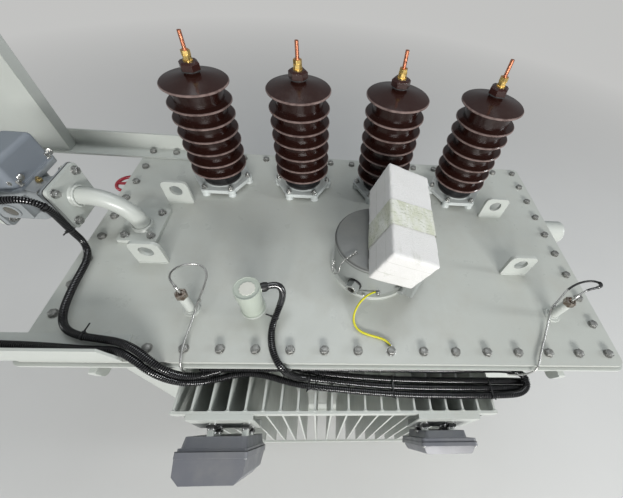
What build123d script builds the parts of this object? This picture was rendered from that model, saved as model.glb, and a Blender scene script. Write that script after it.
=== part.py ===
from build123d import *
import math
import os

# Oil-filled neutral earthing transformer, millimetres.
# X runs along the tank to the right, Y to the back, Z up.
# The origin is on the ground, at the centre of the four anchor holes in the skids.
# Heights called drops are measured down from the cover's top face.

# Whole tank
COVER_TOP = 1200
COVER_LENGTH = 1776
COVER_WIDTH = 976
COVER_THICK = 12
COVER_CORNER = 20
GASKET_THICK = 4
GASKET_INSET = 4
WALL_LENGTH = 1620
WALL_WIDTH = 820
WALL_THICK = 6
WALL_CORNER = 40
RIM_THICK = 10
RIM_OVERHANG = 9
RIM_CORNER = 24
FLOOR_THICK = 10
FLOOR_MARGIN = 10

# Skids
SKID_LENGTH = 1500
SKID_HEIGHT = 100
SKID_FLANGE = 60
SKID_WEB = 6
SKID_FLANGE_THICK = 9
ANCHOR_SPACING_X = 1300
ANCHOR_SPACING_Y = 600
ANCHOR_HOLE_RADIUS = 11

# Cooling fins
FIN_COUNT = 20
FIN_PITCH = 50
FIN_THICK = 6
FIN_REACH = 184
FIN_SHEET = 4
FIN_CENTRE_X = 3
FIN_DROP = 100
FIN_HEIGHT = 780
FIN_BAR_THICK = 8
FIN_BAR_HEIGHT = 30
FIN_BAR_OVERHANG = 8
FIN_BAR_FILLET = 7
FIN_STUB = 10

# Bushings
BUSHING_PITCH = 337
BUSHING_CENTRE_X = 2
BUSHING_Y = 290
BUSHING_COUNT = 4
FOOT_RADIUS = 84
FOOT_HEIGHT = 15
NECK_RADIUS = 68
NECK_TOP = 62
SHOULDER_RADIUS = 74
SHOULDER_TOP = 76
CORE_RADIUS = 82
SHED_RADIUS = 106
SHED_FIRST = 95
SHED_PITCH = 50.5
SHED_COUNT = 6
SHED_LIP = 9
SHED_TIP = 3
SHED_UNDERCUT = 8
SHED_RISE = 4
HAT_RADIUS = 109
HAT_HEIGHT = 408
HAT_RISE = 22
TOP_NECK_RADIUS = 22
TOP_NECK_HEIGHT = 440
STEM_RADIUS = 48
STEM_LENGTH = 90
COVER_HOLE_RADIUS = 52
CLAMP_THICK = 16
CLAMP_CORNER_RADIUS = 119
CLAMP_CORNER_FILLET = 14
CLAMP_BOLT_RADIUS = 103
CLAMP_BOSS_RADIUS = 17
CLAMP_FOOT_TOP_RADIUS = 12.5
CLAMP_BORE_CLEARANCE = 1.5
CLAMP_RIDGE_WIDTH = 10.5
CLAMP_RIDGE_HEIGHT = 2
CAP_FLATS = 55
CAP_HEIGHT = 24
CAP_CHAMFER = 6
STUD_RADIUS = 6
STUD_TOP = 543
NUT_FLATS = 24
NUT_HEIGHT = 12
NUT_TURN = 15
WASHER_THICK = 2.5
LOWER_WASHER_RADIUS = 15
UPPER_WASHER_RADIUS = 13.5

# Lifting lugs on the cover
LUG_X = 638
LUG_Y = 148
LUG_WIDTH = 98
LUG_HEIGHT = 100
LUG_THICK = 12
LUG_CORNER = 22
LUG_HOLE_RADIUS = 23
LUG_HOLE_HEIGHT = 60

# Pressure relief valve: a domed cap with a rolled rim, a side gland and a switch box
RELIEF_X = 110
RELIEF_Y = -127
RELIEF_FLANGE_RADIUS = 147
RELIEF_FLANGE_THICK = 12
RELIEF_WALL_RADIUS = 136
RELIEF_RIM_RADIUS = 139
RELIEF_RIM_BASE = 128
RELIEF_RIM_TOP = 144
RELIEF_RIM_CHAMFER = 3
RELIEF_DOME_RADIUS = 133
RELIEF_DOME_BASE = 147
RELIEF_CROWN = 156
RELIEF_HOLE_RADIUS = 75
RELIEF_GLAND_ANGLE = -120
RELIEF_GLAND_HEIGHT = 50
RELIEF_GLAND_FLATS = 38
RELIEF_GLAND_REACH = 165
RELIEF_GLAND_BORE = 12
RELIEF_GLAND_DEPTH = 25
EARTH_BOSS_ANGLE = -87
EARTH_BOSS_HEIGHT = 37
EARTH_BOSS_RADIUS = 7
EARTH_BOSS_REACH = 144
SWITCH_ANGLE = -36
SWITCH_RADIAL = 50
SWITCH_LENGTH = 110
SWITCH_BASE = 24
SWITCH_HEIGHT = 116
SWITCH_CORNER = 8
SWITCH_GLAND_OFFSET = -15
SWITCH_GLAND_RADIUS = 10
SWITCH_GLAND_LENGTH = 18
SWITCH_GLAND_HEIGHT = 21

FIT_GAP = 0.3

# Foam block taped over the relief valve's switch
FOAM_WIDTH = 146
FOAM_LENGTH = 349
FOAM_HEIGHT = 142
FOAM_CENTRE = (167, -134, 219)
FOAM_TILT = (5, 19, -3.3)

# Gas relay, its pipes and the conservator
RELAY_Y = -2
RELAY_HEIGHT = 148
RELAY_FACE_X = -885
RELAY_LENGTH = 200
RELAY_FLANGE = 155
RELAY_FLANGE_THICK = 14
RELAY_FLANGE_CORNER = 14
RELAY_BARREL_RADIUS = 58
RELAY_CHAMBER = (84, 118)
RELAY_CHAMBER_CORNER = 24
RELAY_CHAMBER_BASE = 92
RELAY_DECK = (104, 186)
RELAY_DECK_X = -996
RELAY_DECK_Y = 13
RELAY_DECK_BASE = 206
RELAY_DECK_THICK = 13
RELAY_DECK_CORNER = 18
RELAY_WINDOW = (88, 65)
RELAY_WINDOW_X = -994
RELAY_WINDOW_HEIGHT = 167
RELAY_WINDOW_CORNER = 8
RELAY_WINDOW_Y = -98
RELAY_WEB_FRONT = -62
RELAY_WEB_BACK = -8
RELAY_WEB_DROP = 20
RELAY_GLAND_X = -1036
RELAY_GLAND_HEIGHT = 214
RELAY_GLAND_RADIUS = 12
RELAY_GLAND_Y = -100
RELAY_LID_THICK = 8
RELAY_BOX = (92, 174)
RELAY_BOX_HEIGHT = 84
RELAY_BOX_CORNER = 18
RELAY_BOX_ROUNDING = 14
RELAY_BOX_TAPER = 2
PIPE_RADIUS = 28.5
PIPE_BORE = 25
PIPE_BEND = 120
PIPE_FLANGE_THICK = 12
COLLAR_RADIUS = 36
COLLAR_LENGTH = 12
ELBOW_X = -722
ELBOW_FOOT_THICK = 10
PAD_Y = 8
PAD_LENGTH = 135
PAD_WIDTH = 164
PAD_THICK = 4
PAD_CORNER = 5
CONSERVATOR_X = -1400
CONSERVATOR_HEIGHT = 520
CONSERVATOR_RADIUS = 200
CONSERVATOR_OVERHANG = 54
CONSERVATOR_WALL = 4
CONSERVATOR_END = 6
CONSERVATOR_LIP = 6
CONSERVATOR_PIPE_BEND = 120
PIPE_PROJECTION = 25
PIPE_HOLE_CLEARANCE = 0.7
LEVEL_RADIUS = 75
LEVEL_DEPTH = 40
LEVEL_DIAL_RADIUS = 60
LEVEL_DIAL_RECESS = 5
LEVEL_GLAND_RADIUS = 13
LEVEL_GLAND_HEIGHT = 432

# Angles and panels that carry the conservator
ANGLE_LEG = 76
ANGLE_THICK = 8
ANGLE_ROOT = 8
ANGLE_LEFT_X = -1620
ANGLE_RIGHT_X = -602
ANGLE_CHAMFER = 30
PANEL_INSET = 62
PANEL_WIDTH = 420
PANEL_THICK = 6
PANEL_FLANGE = 53
PANEL_COPE = 9
NOTCH_WIDTH = 42
NOTCH_HEIGHT = 36
NOTCH_Y = -453

# Thermometer pockets and sensor head
POCKETS = ((-464, -326), (720, -318))
POCKET_RADIUS = 14
POCKET_HEIGHT = 84
POCKET_BASE_RADIUS = 24
POCKET_BASE_THICK = 6
POCKET_NUT_FLATS = 30
POCKET_NUT_HEIGHT = 18
POCKET_NUT_CHAMFER = 2
POCKET_DISH_RADIUS = 10
POCKET_DISH_DEPTH = 4
POCKET_BUSH_RADIUS = 4.5
SENSOR_X = -279
SENSOR_Y = -315
SENSOR_BASE_RADIUS = 38
SENSOR_BASE_THICK = 5
SENSOR_WAIST_RADIUS = 34.5
SENSOR_CAP_RADIUS = 38.5
SENSOR_CAP_BASE = 94
SENSOR_HEIGHT = 120
SENSOR_LIP = 2.5
SENSOR_LIP_HEIGHT = 1.5
SENSOR_GLAND_HEIGHT = 100
SENSOR_GLAND_ANGLE = 21
SENSOR_GLAND_REACH = 50
SENSOR_GLAND_RADIUS = 13

# Leads
CONDUIT_RADIUS = 10.5
CAPILLARY_RADIUS = 2.5
EARTH_RADIUS = 3.5

# Gauge boxes that lean out below the cover's front edge, each size as width, height and depth
GAUGE_DROP = 120
GAUGE_LEAN = 8
GAUGE_CORNER = 10
GAUGE_CASE_TAPER = -12
BRACKET_DEPTH = 15
BRACKET_HEIGHT = 145
BRACKET_WIDTH = 188
BRACKET_THICK = 4
MOUNT_RADIUS = 10
MOUNT_ROWS = 70
MOUNT_DROP = 73
LEFT_GAUGE = {
    "centre": -350,
    "bracket_centre": -340,
    "mount_centre": -322,
    "mount_spacing": 99,
    "standoff": 38,
    "case": (172, 275, 28),
    "rim": (190, 308, 8),
    "lip": (198, 320, 16),
    "body": (191, 314, 60),
    "body_taper": 4,
    "bottom_slope": 54,
    "front_chamfer": 20,
}
RIGHT_GAUGE = {
    "centre": 328,
    "bracket_centre": 332,
    "mount_centre": 310,
    "mount_spacing": 84,
    "standoff": 27,
    "case": (124, 200, 20),
    "rim": (166, 250, 10),
    "lip": (169, 254, 10),
    "body": (156, 238, 20),
    "body_taper": 25,
    "bottom_slope": 8,
    "front_chamfer": 3,
}

# Hooks under the rim, side stub and drain valve
HOOK_X = (-685, 685)
HOOK_THICK = 20
HOOK_REACH = 104
HOOK_FOOT_REACH = 97
HOOK_HEIGHT = 56
HOOK_TOP_ROUNDING = 4
HOOK_FOOT_ROUNDING = 22
STUB_Y = 192
STUB_DROP = 126
STUB_RADIUS = 51
STUB_END_X = 1060
STUB_ROUNDING = 12
VALVE_X = -970
VALVE_Y = 350
VALVE_PIPE_DROP = 215
VALVE_PIPE_RADIUS = 17
VALVE_PIPE_BEYOND = 60
VALVE_BODY_RADIUS = 32
VALVE_BONNET_RADIUS = 14
VALVE_BONNET_FLATS = 42
VALVE_BONNET_THICK = 14
VALVE_END_FLATS = 46
VALVE_END_LENGTH = 18
VALVE_BORE_DEPTH = 60
WHEEL_DROP = 100
WHEEL_RADIUS = 55
WHEEL_RIM_RADIUS = 7
WHEEL_HUB_RADIUS = 14
WHEEL_SPOKE_WIDTH = 10
WHEEL_SPOKE_THICK = 8
WHEEL_CLEARANCE = 30
SPINDLE_RADIUS = 6
SPINDLE_DEPTH = 50
SPINDLE_CLEARANCE = 0.05

os.makedirs("parts", exist_ok=True)


def write(piece, label):
    piece.part.label = label
    export_step(piece.part, f"parts/{label}.step")


def above(height):
    """Horizontal plane at a height over the cover's top face."""
    return Plane.XY.offset(COVER_TOP + height)


def raised(route):
    """Route whose heights were given over the cover's top face."""
    return [(x, y, COVER_TOP + z) for x, y, z in route]


def lead_radii(points):
    """Largest arc at each corner of a route that its two runs allow."""
    radii = []
    for before, corner, after in zip(points, points[1:], points[2:]):
        run_in = Vector(corner) - Vector(before)
        run_out = Vector(after) - Vector(corner)
        half_turn = math.radians(run_in.get_angle(run_out)) / 2
        shorter = min(run_in.length, run_out.length)
        radii.append(0.45 * shorter / math.tan(half_turn))
    return radii


def lead(points, radius, label):
    """Round lead of straight runs and tangent arcs through the points."""
    radii = lead_radii(points)
    with BuildPart() as tube:
        with BuildLine() as route:
            FilletPolyline(*points, radius=radii)
        path = route.wires()[0]
        with BuildSketch(Plane(path @ 0, z_dir=path % 0)):
            Circle(radius)
        sweep(path=path)
    length = path.length
    error = tube.part.volume / (math.pi * radius**2 * length) - 1
    print(f"{label}: length {length:.0f}, smallest radius {min(radii):.0f}, volume error {error:.4f}")
    write(tube, label)


# Skids: two channels with their webs towards the middle
with BuildPart() as skids:
    for side in (-1, 1):
        web_y = side * (ANCHOR_SPACING_Y - SKID_FLANGE) / 2
        flange_y = web_y + side * (SKID_FLANGE - SKID_WEB) / 2
        with BuildSketch(Plane.YZ.offset(-SKID_LENGTH / 2)):
            with Locations((flange_y, SKID_HEIGHT / 2)):
                with GridLocations(1, SKID_HEIGHT - SKID_FLANGE_THICK, 1, 2):
                    Rectangle(SKID_FLANGE, SKID_FLANGE_THICK)
            with Locations((web_y, SKID_HEIGHT / 2)):
                Rectangle(SKID_WEB, SKID_HEIGHT)
        extrude(amount=SKID_LENGTH)
    with Locations((0, 0, SKID_FLANGE_THICK)):
        with GridLocations(ANCHOR_SPACING_X, ANCHOR_SPACING_Y, 2, 2):
            Hole(ANCHOR_HOLE_RADIUS, depth=SKID_FLANGE_THICK)
write(skids, "skids")

# Tank: floor, walls, rim, gasket and cover
floor_top = SKID_HEIGHT + FLOOR_THICK
cover_bottom = COVER_TOP - COVER_THICK
gasket_bottom = cover_bottom - GASKET_THICK
rim_bottom = gasket_bottom - RIM_THICK
tank_inside = (WALL_LENGTH - 2 * WALL_THICK, WALL_WIDTH - 2 * WALL_THICK, WALL_CORNER - WALL_THICK)

with BuildPart() as tank_floor:
    with BuildSketch(Plane.XY.offset(SKID_HEIGHT)):
        RectangleRounded(WALL_LENGTH + 2 * FLOOR_MARGIN, WALL_WIDTH + 2 * FLOOR_MARGIN, WALL_CORNER)
    extrude(amount=FLOOR_THICK)
write(tank_floor, "tank_floor")

with BuildPart() as tank_wall:
    with BuildSketch(Plane.XY.offset(floor_top)):
        RectangleRounded(WALL_LENGTH, WALL_WIDTH, WALL_CORNER)
        RectangleRounded(*tank_inside, mode=Mode.SUBTRACT)
    extrude(amount=rim_bottom - floor_top)
write(tank_wall, "tank_wall")

with BuildPart() as tank_rim:
    with BuildSketch(Plane.XY.offset(rim_bottom)):
        RectangleRounded(COVER_LENGTH + 2 * RIM_OVERHANG, COVER_WIDTH + 2 * RIM_OVERHANG, RIM_CORNER)
        RectangleRounded(*tank_inside, mode=Mode.SUBTRACT)
    extrude(amount=RIM_THICK)
write(tank_rim, "tank_rim")

with BuildPart() as cover_gasket:
    with BuildSketch(Plane.XY.offset(gasket_bottom)):
        RectangleRounded(COVER_LENGTH - 2 * GASKET_INSET, COVER_WIDTH - 2 * GASKET_INSET, COVER_CORNER)
        Rectangle(WALL_LENGTH, WALL_WIDTH, mode=Mode.SUBTRACT)
    extrude(amount=GASKET_THICK)
write(cover_gasket, "cover_gasket")

bushing_places = [
    (BUSHING_CENTRE_X + (number - (BUSHING_COUNT - 1) / 2) * BUSHING_PITCH, BUSHING_Y)
    for number in range(BUSHING_COUNT)
]
with BuildPart() as tank_cover:
    with BuildSketch(Plane.XY.offset(cover_bottom)):
        RectangleRounded(COVER_LENGTH, COVER_WIDTH, COVER_CORNER)
        with Locations(*bushing_places):
            Circle(COVER_HOLE_RADIUS, mode=Mode.SUBTRACT)
        with Locations((RELIEF_X, RELIEF_Y)):
            Circle(RELIEF_HOLE_RADIUS, mode=Mode.SUBTRACT)
        with Locations((ELBOW_X, RELAY_Y)):
            Circle(PIPE_BORE, mode=Mode.SUBTRACT)
    extrude(amount=COVER_THICK)
write(tank_cover, "tank_cover")

fin_top = COVER_TOP - FIN_DROP
fin_tip = WALL_WIDTH / 2 + FIN_REACH
fin_bar_face = fin_tip + FIN_BAR_THICK


def fin_panel(side, label):
    """Sheet with upright fins and two filleted bars along their tips, on the front or back wall."""
    wall_y = side * WALL_WIDTH / 2
    span = (FIN_COUNT - 1) * FIN_PITCH
    with BuildPart() as panel:
        with BuildSketch(Plane.XY.offset(fin_top - FIN_HEIGHT)):
            with Locations((FIN_CENTRE_X, wall_y + side * FIN_SHEET / 2)):
                Rectangle(span + FIN_PITCH, FIN_SHEET)
            with Locations((FIN_CENTRE_X, wall_y + side * FIN_REACH / 2)):
                with GridLocations(FIN_PITCH, 1, FIN_COUNT, 1):
                    Rectangle(FIN_THICK, FIN_REACH)
        extrude(amount=FIN_HEIGHT)
        for height in (fin_top - FIN_BAR_HEIGHT, fin_top - FIN_HEIGHT + FIN_BAR_HEIGHT):
            with BuildSketch(Plane.XY.offset(height)) as bar:
                with Locations((FIN_CENTRE_X, side * (fin_tip + FIN_BAR_THICK / 2))):
                    Rectangle(span + 2 * FIN_BAR_OVERHANG, FIN_BAR_THICK)
                with Locations((FIN_CENTRE_X, side * (fin_tip - FIN_STUB / 2))):
                    with GridLocations(FIN_PITCH, 1, FIN_COUNT, 1):
                        Rectangle(FIN_THICK, FIN_STUB)
                tip_y = side * fin_tip
                corners = bar.vertices().filter_by_position(Axis.Y, tip_y - 1, tip_y + 1)
                fillet(corners.sort_by(Axis.X)[2:-2], FIN_BAR_FILLET)
            extrude(amount=FIN_BAR_HEIGHT)
    write(panel, label)


fin_panel(-1, "front_fins")
fin_panel(1, "rear_fins")


def shed_outline(height, radius, top_radius, top_height):
    """Thin lip with a blunt tip, from the core below it to a given point above it."""
    return [
        (CORE_RADIUS, height - SHED_LIP - SHED_UNDERCUT),
        (radius - SHED_TIP, height - SHED_LIP),
        (radius, height - SHED_LIP + SHED_TIP),
        (radius, height - SHED_TIP),
        (radius - SHED_TIP, height),
        (top_radius, top_height),
    ]


def porcelain(place, label):
    """Bushing insulator: stem, foot, neck, stacked sheds and a wide hat shed."""
    with BuildPart() as insulator:
        with BuildSketch(Plane.XZ):
            with BuildLine():
                points = [
                    (0, -STEM_LENGTH),
                    (STEM_RADIUS, -STEM_LENGTH),
                    (STEM_RADIUS, 0),
                    (FOOT_RADIUS, 0),
                    (FOOT_RADIUS, FOOT_HEIGHT),
                    (NECK_RADIUS, FOOT_HEIGHT),
                    (NECK_RADIUS, NECK_TOP),
                    (SHOULDER_RADIUS, NECK_TOP),
                    (CORE_RADIUS, SHOULDER_TOP),
                ]
                for shed in range(SHED_COUNT):
                    height = SHED_FIRST + shed * SHED_PITCH
                    points += shed_outline(height, SHED_RADIUS, CORE_RADIUS, height + SHED_RISE)
                points += shed_outline(HAT_HEIGHT, HAT_RADIUS, TOP_NECK_RADIUS, HAT_HEIGHT + HAT_RISE)
                points += [(TOP_NECK_RADIUS, TOP_NECK_HEIGHT), (0, TOP_NECK_HEIGHT)]
                Polyline(*points, close=True)
            make_face()
        revolve(axis=Axis.Z)
    insulator.part.locate(Location((place[0], place[1], COVER_TOP)))
    write(insulator, label)


for number, place in enumerate(bushing_places, start=1):
    porcelain(place, f"bushing_{number}_porcelain")

clamp_bore = NECK_RADIUS + CLAMP_BORE_CLEARANCE
with BuildPart() as bushing_clamps:
    with BuildSketch(above(FOOT_HEIGHT)) as clamp_plate:
        with Locations(*bushing_places):
            RegularPolygon(CLAMP_CORNER_RADIUS, 6)
        fillet(clamp_plate.vertices(), CLAMP_CORNER_FILLET)
        with Locations(*bushing_places):
            with PolarLocations(CLAMP_BOLT_RADIUS, 6):
                Circle(CLAMP_BOSS_RADIUS)
            Circle(clamp_bore, mode=Mode.SUBTRACT)
    extrude(amount=CLAMP_THICK)
    with BuildSketch(above(FOOT_HEIGHT + CLAMP_THICK)):
        with Locations(*bushing_places):
            Circle(clamp_bore + CLAMP_RIDGE_WIDTH)
            Circle(clamp_bore, mode=Mode.SUBTRACT)
    extrude(amount=CLAMP_RIDGE_HEIGHT)
    with Locations(*[(x, y, COVER_TOP) for x, y in bushing_places]):
        with PolarLocations(CLAMP_BOLT_RADIUS, 6):
            Cone(
                CLAMP_BOSS_RADIUS,
                CLAMP_FOOT_TOP_RADIUS,
                FOOT_HEIGHT,
                align=(Align.CENTER, Align.CENTER, Align.MIN),
            )
write(bushing_clamps, "bushing_clamps")

with BuildPart() as bushing_caps:
    with BuildSketch(above(TOP_NECK_HEIGHT)):
        with Locations(*bushing_places):
            RegularPolygon(CAP_FLATS / 2, 6, major_radius=False)
    extrude(amount=CAP_HEIGHT)
    chamfer(bushing_caps.edges().group_by(Axis.Z)[-1], CAP_CHAMFER)
write(bushing_caps, "bushing_caps")

cap_top = TOP_NECK_HEIGHT + CAP_HEIGHT
with BuildPart() as bushing_terminals:
    with BuildSketch(above(cap_top)):
        with Locations(*bushing_places):
            Circle(STUD_RADIUS)
    extrude(amount=STUD_TOP - cap_top)
    level = cap_top
    for washer_radius, turn in ((LOWER_WASHER_RADIUS, 0), (UPPER_WASHER_RADIUS, NUT_TURN)):
        with BuildSketch(above(level)):
            with Locations(*bushing_places):
                Circle(washer_radius)
        extrude(amount=WASHER_THICK)
        with BuildSketch(above(level + WASHER_THICK)):
            with Locations(*bushing_places):
                RegularPolygon(NUT_FLATS / 2, 6, major_radius=False, rotation=turn)
        extrude(amount=NUT_HEIGHT)
        level += WASHER_THICK + NUT_HEIGHT
write(bushing_terminals, "bushing_terminals")

with BuildPart() as lifting_lugs:
    lug_top = COVER_TOP + LUG_HEIGHT
    for side in (-1, 1):
        with BuildSketch(Plane.XZ.offset(side * LUG_Y - LUG_THICK / 2)):
            for end in (-1, 1):
                left = end * LUG_X - LUG_WIDTH / 2
                right = left + LUG_WIDTH
                with BuildLine():
                    FilletPolyline(
                        (left, COVER_TOP),
                        (left, lug_top),
                        (right, lug_top),
                        (right, COVER_TOP),
                        radius=LUG_CORNER,
                    )
                    Line((right, COVER_TOP), (left, COVER_TOP))
                make_face()
                with Locations((end * LUG_X, COVER_TOP + LUG_HOLE_HEIGHT)):
                    Circle(LUG_HOLE_RADIUS, mode=Mode.SUBTRACT)
        extrude(amount=LUG_THICK)
write(lifting_lugs, "lifting_lugs")

# Pressure relief valve
with BuildPart() as relief_valve_flange:
    with BuildSketch(above(0)):
        with Locations((RELIEF_X, RELIEF_Y)):
            Circle(RELIEF_FLANGE_RADIUS)
    extrude(amount=RELIEF_FLANGE_THICK)
write(relief_valve_flange, "relief_valve_flange")


def relief_side(angle, reach, height):
    """Plane that faces away from the relief valve's axis, at a radius and height."""
    turn = math.radians(angle)
    outward = (math.cos(turn), math.sin(turn), 0)
    place = (RELIEF_X + reach * outward[0], RELIEF_Y + reach * outward[1], COVER_TOP + height)
    return Plane(place, x_dir=(0, 0, 1), z_dir=outward)


relief_frame = Plane((RELIEF_X, RELIEF_Y, COVER_TOP), x_dir=(1, 0, 0), z_dir=(0, -1, 0))
crown = RELIEF_CROWN - RELIEF_DOME_BASE
crown_radius = (RELIEF_DOME_RADIUS**2 + crown**2) / (2 * crown)
with BuildPart() as relief_valve_cap:
    with BuildSketch(relief_frame):
        with BuildLine():
            Polyline(
                (0, RELIEF_CROWN),
                (0, RELIEF_FLANGE_THICK),
                (RELIEF_WALL_RADIUS, RELIEF_FLANGE_THICK),
                (RELIEF_WALL_RADIUS, RELIEF_RIM_BASE),
                (RELIEF_RIM_RADIUS, RELIEF_RIM_BASE + RELIEF_RIM_CHAMFER),
                (RELIEF_RIM_RADIUS, RELIEF_RIM_TOP - RELIEF_RIM_CHAMFER),
                (RELIEF_WALL_RADIUS, RELIEF_RIM_TOP),
                (RELIEF_DOME_RADIUS, RELIEF_DOME_BASE),
            )
            RadiusArc((RELIEF_DOME_RADIUS, RELIEF_DOME_BASE), (0, RELIEF_CROWN), -crown_radius)
        make_face()
    revolve(axis=Axis(relief_frame.origin, (0, 0, 1)))
    gland_root = relief_side(RELIEF_GLAND_ANGLE, RELIEF_WALL_RADIUS, RELIEF_GLAND_HEIGHT)
    gland_length = RELIEF_GLAND_REACH - RELIEF_WALL_RADIUS
    with BuildSketch(gland_root.offset(gland_length)):
        RegularPolygon(RELIEF_GLAND_FLATS / 2, 6, major_radius=False)
    extrude(amount=-gland_length - RELIEF_GLAND_FLATS / 4)
    with BuildSketch(gland_root.offset(gland_length)):
        Circle(RELIEF_GLAND_BORE)
    extrude(amount=-RELIEF_GLAND_DEPTH, mode=Mode.SUBTRACT)
    with BuildSketch(relief_side(EARTH_BOSS_ANGLE, EARTH_BOSS_REACH, EARTH_BOSS_HEIGHT)):
        Circle(EARTH_BOSS_RADIUS)
    extrude(amount=RELIEF_WALL_RADIUS - EARTH_BOSS_REACH - 1)
write(relief_valve_cap, "relief_valve_cap")

switch_reach = RELIEF_RIM_RADIUS + FIT_GAP + SWITCH_RADIAL / 2
switch_turn = math.radians(SWITCH_ANGLE)
switch_frame = Plane(
    (
        RELIEF_X + switch_reach * math.cos(switch_turn),
        RELIEF_Y + switch_reach * math.sin(switch_turn),
        COVER_TOP + SWITCH_BASE,
    ),
    x_dir=(math.cos(switch_turn), math.sin(switch_turn), 0),
)
with BuildPart() as relief_valve_switch:
    with BuildSketch(switch_frame):
        RectangleRounded(SWITCH_RADIAL, SWITCH_LENGTH, SWITCH_CORNER)
    extrude(amount=SWITCH_HEIGHT)
    gland_local = (SWITCH_GLAND_OFFSET, -SWITCH_LENGTH / 2, SWITCH_GLAND_HEIGHT)
    with BuildSketch(Plane(switch_frame.from_local_coords(gland_local), z_dir=-switch_frame.y_dir)):
        Circle(SWITCH_GLAND_RADIUS)
    extrude(amount=SWITCH_GLAND_LENGTH)
write(relief_valve_switch, "relief_valve_switch")

with BuildPart() as foam_block:
    with Locations(Location((FOAM_CENTRE[0], FOAM_CENTRE[1], COVER_TOP + FOAM_CENTRE[2]), FOAM_TILT)):
        Box(FOAM_WIDTH, FOAM_LENGTH, FOAM_HEIGHT)
    with BuildSketch(above(0)):
        with Locations((RELIEF_X, RELIEF_Y)):
            Circle(RELIEF_RIM_RADIUS + FIT_GAP)
    extrude(amount=RELIEF_CROWN + FIT_GAP, mode=Mode.SUBTRACT)
    with BuildSketch(switch_frame):
        Rectangle(SWITCH_RADIAL + 2 * FIT_GAP, SWITCH_LENGTH + 2 * FIT_GAP)
    extrude(amount=SWITCH_HEIGHT + FIT_GAP, mode=Mode.SUBTRACT)
write(foam_block, "foam_block")

# Gas relay between the cover and the conservator
relay_z = COVER_TOP + RELAY_HEIGHT
relay_end_x = RELAY_FACE_X - RELAY_LENGTH
elbow_foot = PAD_THICK + ELBOW_FOOT_THICK


def relay_flange(x, thickness):
    """Square flange across the relay's axis."""
    with BuildSketch(Plane.YZ.offset(x)) as outline:
        with Locations((RELAY_Y, relay_z)):
            RectangleRounded(RELAY_FLANGE, RELAY_FLANGE, RELAY_FLANGE_CORNER)
    extrude(outline.sketch, amount=thickness)


def weld_collar(foot):
    """Tapered collar round a pipe where it meets its flange."""
    with Locations(foot):
        Cone(COLLAR_RADIUS, PIPE_RADIUS, COLLAR_LENGTH, align=(Align.CENTER, Align.CENTER, Align.MIN))


with BuildPart() as relay_pad:
    with BuildSketch(above(0)):
        with Locations((ELBOW_X, PAD_Y)):
            RectangleRounded(PAD_LENGTH, PAD_WIDTH, PAD_CORNER)
        with Locations((ELBOW_X, RELAY_Y)):
            Circle(PIPE_BORE, mode=Mode.SUBTRACT)
    extrude(amount=PAD_THICK)
write(relay_pad, "relay_pad")

with BuildPart() as relay_elbow:
    elbow_end_x = RELAY_FACE_X + PIPE_FLANGE_THICK
    with BuildLine() as elbow_line:
        FilletPolyline(
            (ELBOW_X, RELAY_Y, COVER_TOP + elbow_foot),
            (ELBOW_X, RELAY_Y, relay_z),
            (elbow_end_x, RELAY_Y, relay_z),
            radius=PIPE_BEND,
        )
    with BuildSketch(above(elbow_foot)):
        with Locations((ELBOW_X, RELAY_Y)):
            Circle(PIPE_RADIUS)
    sweep(path=elbow_line.line)
    with BuildSketch(above(PAD_THICK)):
        with Locations((ELBOW_X, PAD_Y)):
            RectangleRounded(PAD_LENGTH, PAD_WIDTH, PAD_CORNER)
    extrude(amount=ELBOW_FOOT_THICK)
    relay_flange(RELAY_FACE_X, PIPE_FLANGE_THICK)
    weld_collar(Plane((ELBOW_X, RELAY_Y, COVER_TOP + elbow_foot)))
    weld_collar(Plane((elbow_end_x, RELAY_Y, relay_z), z_dir=(1, 0, 0)))
write(relay_elbow, "relay_elbow")

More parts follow.
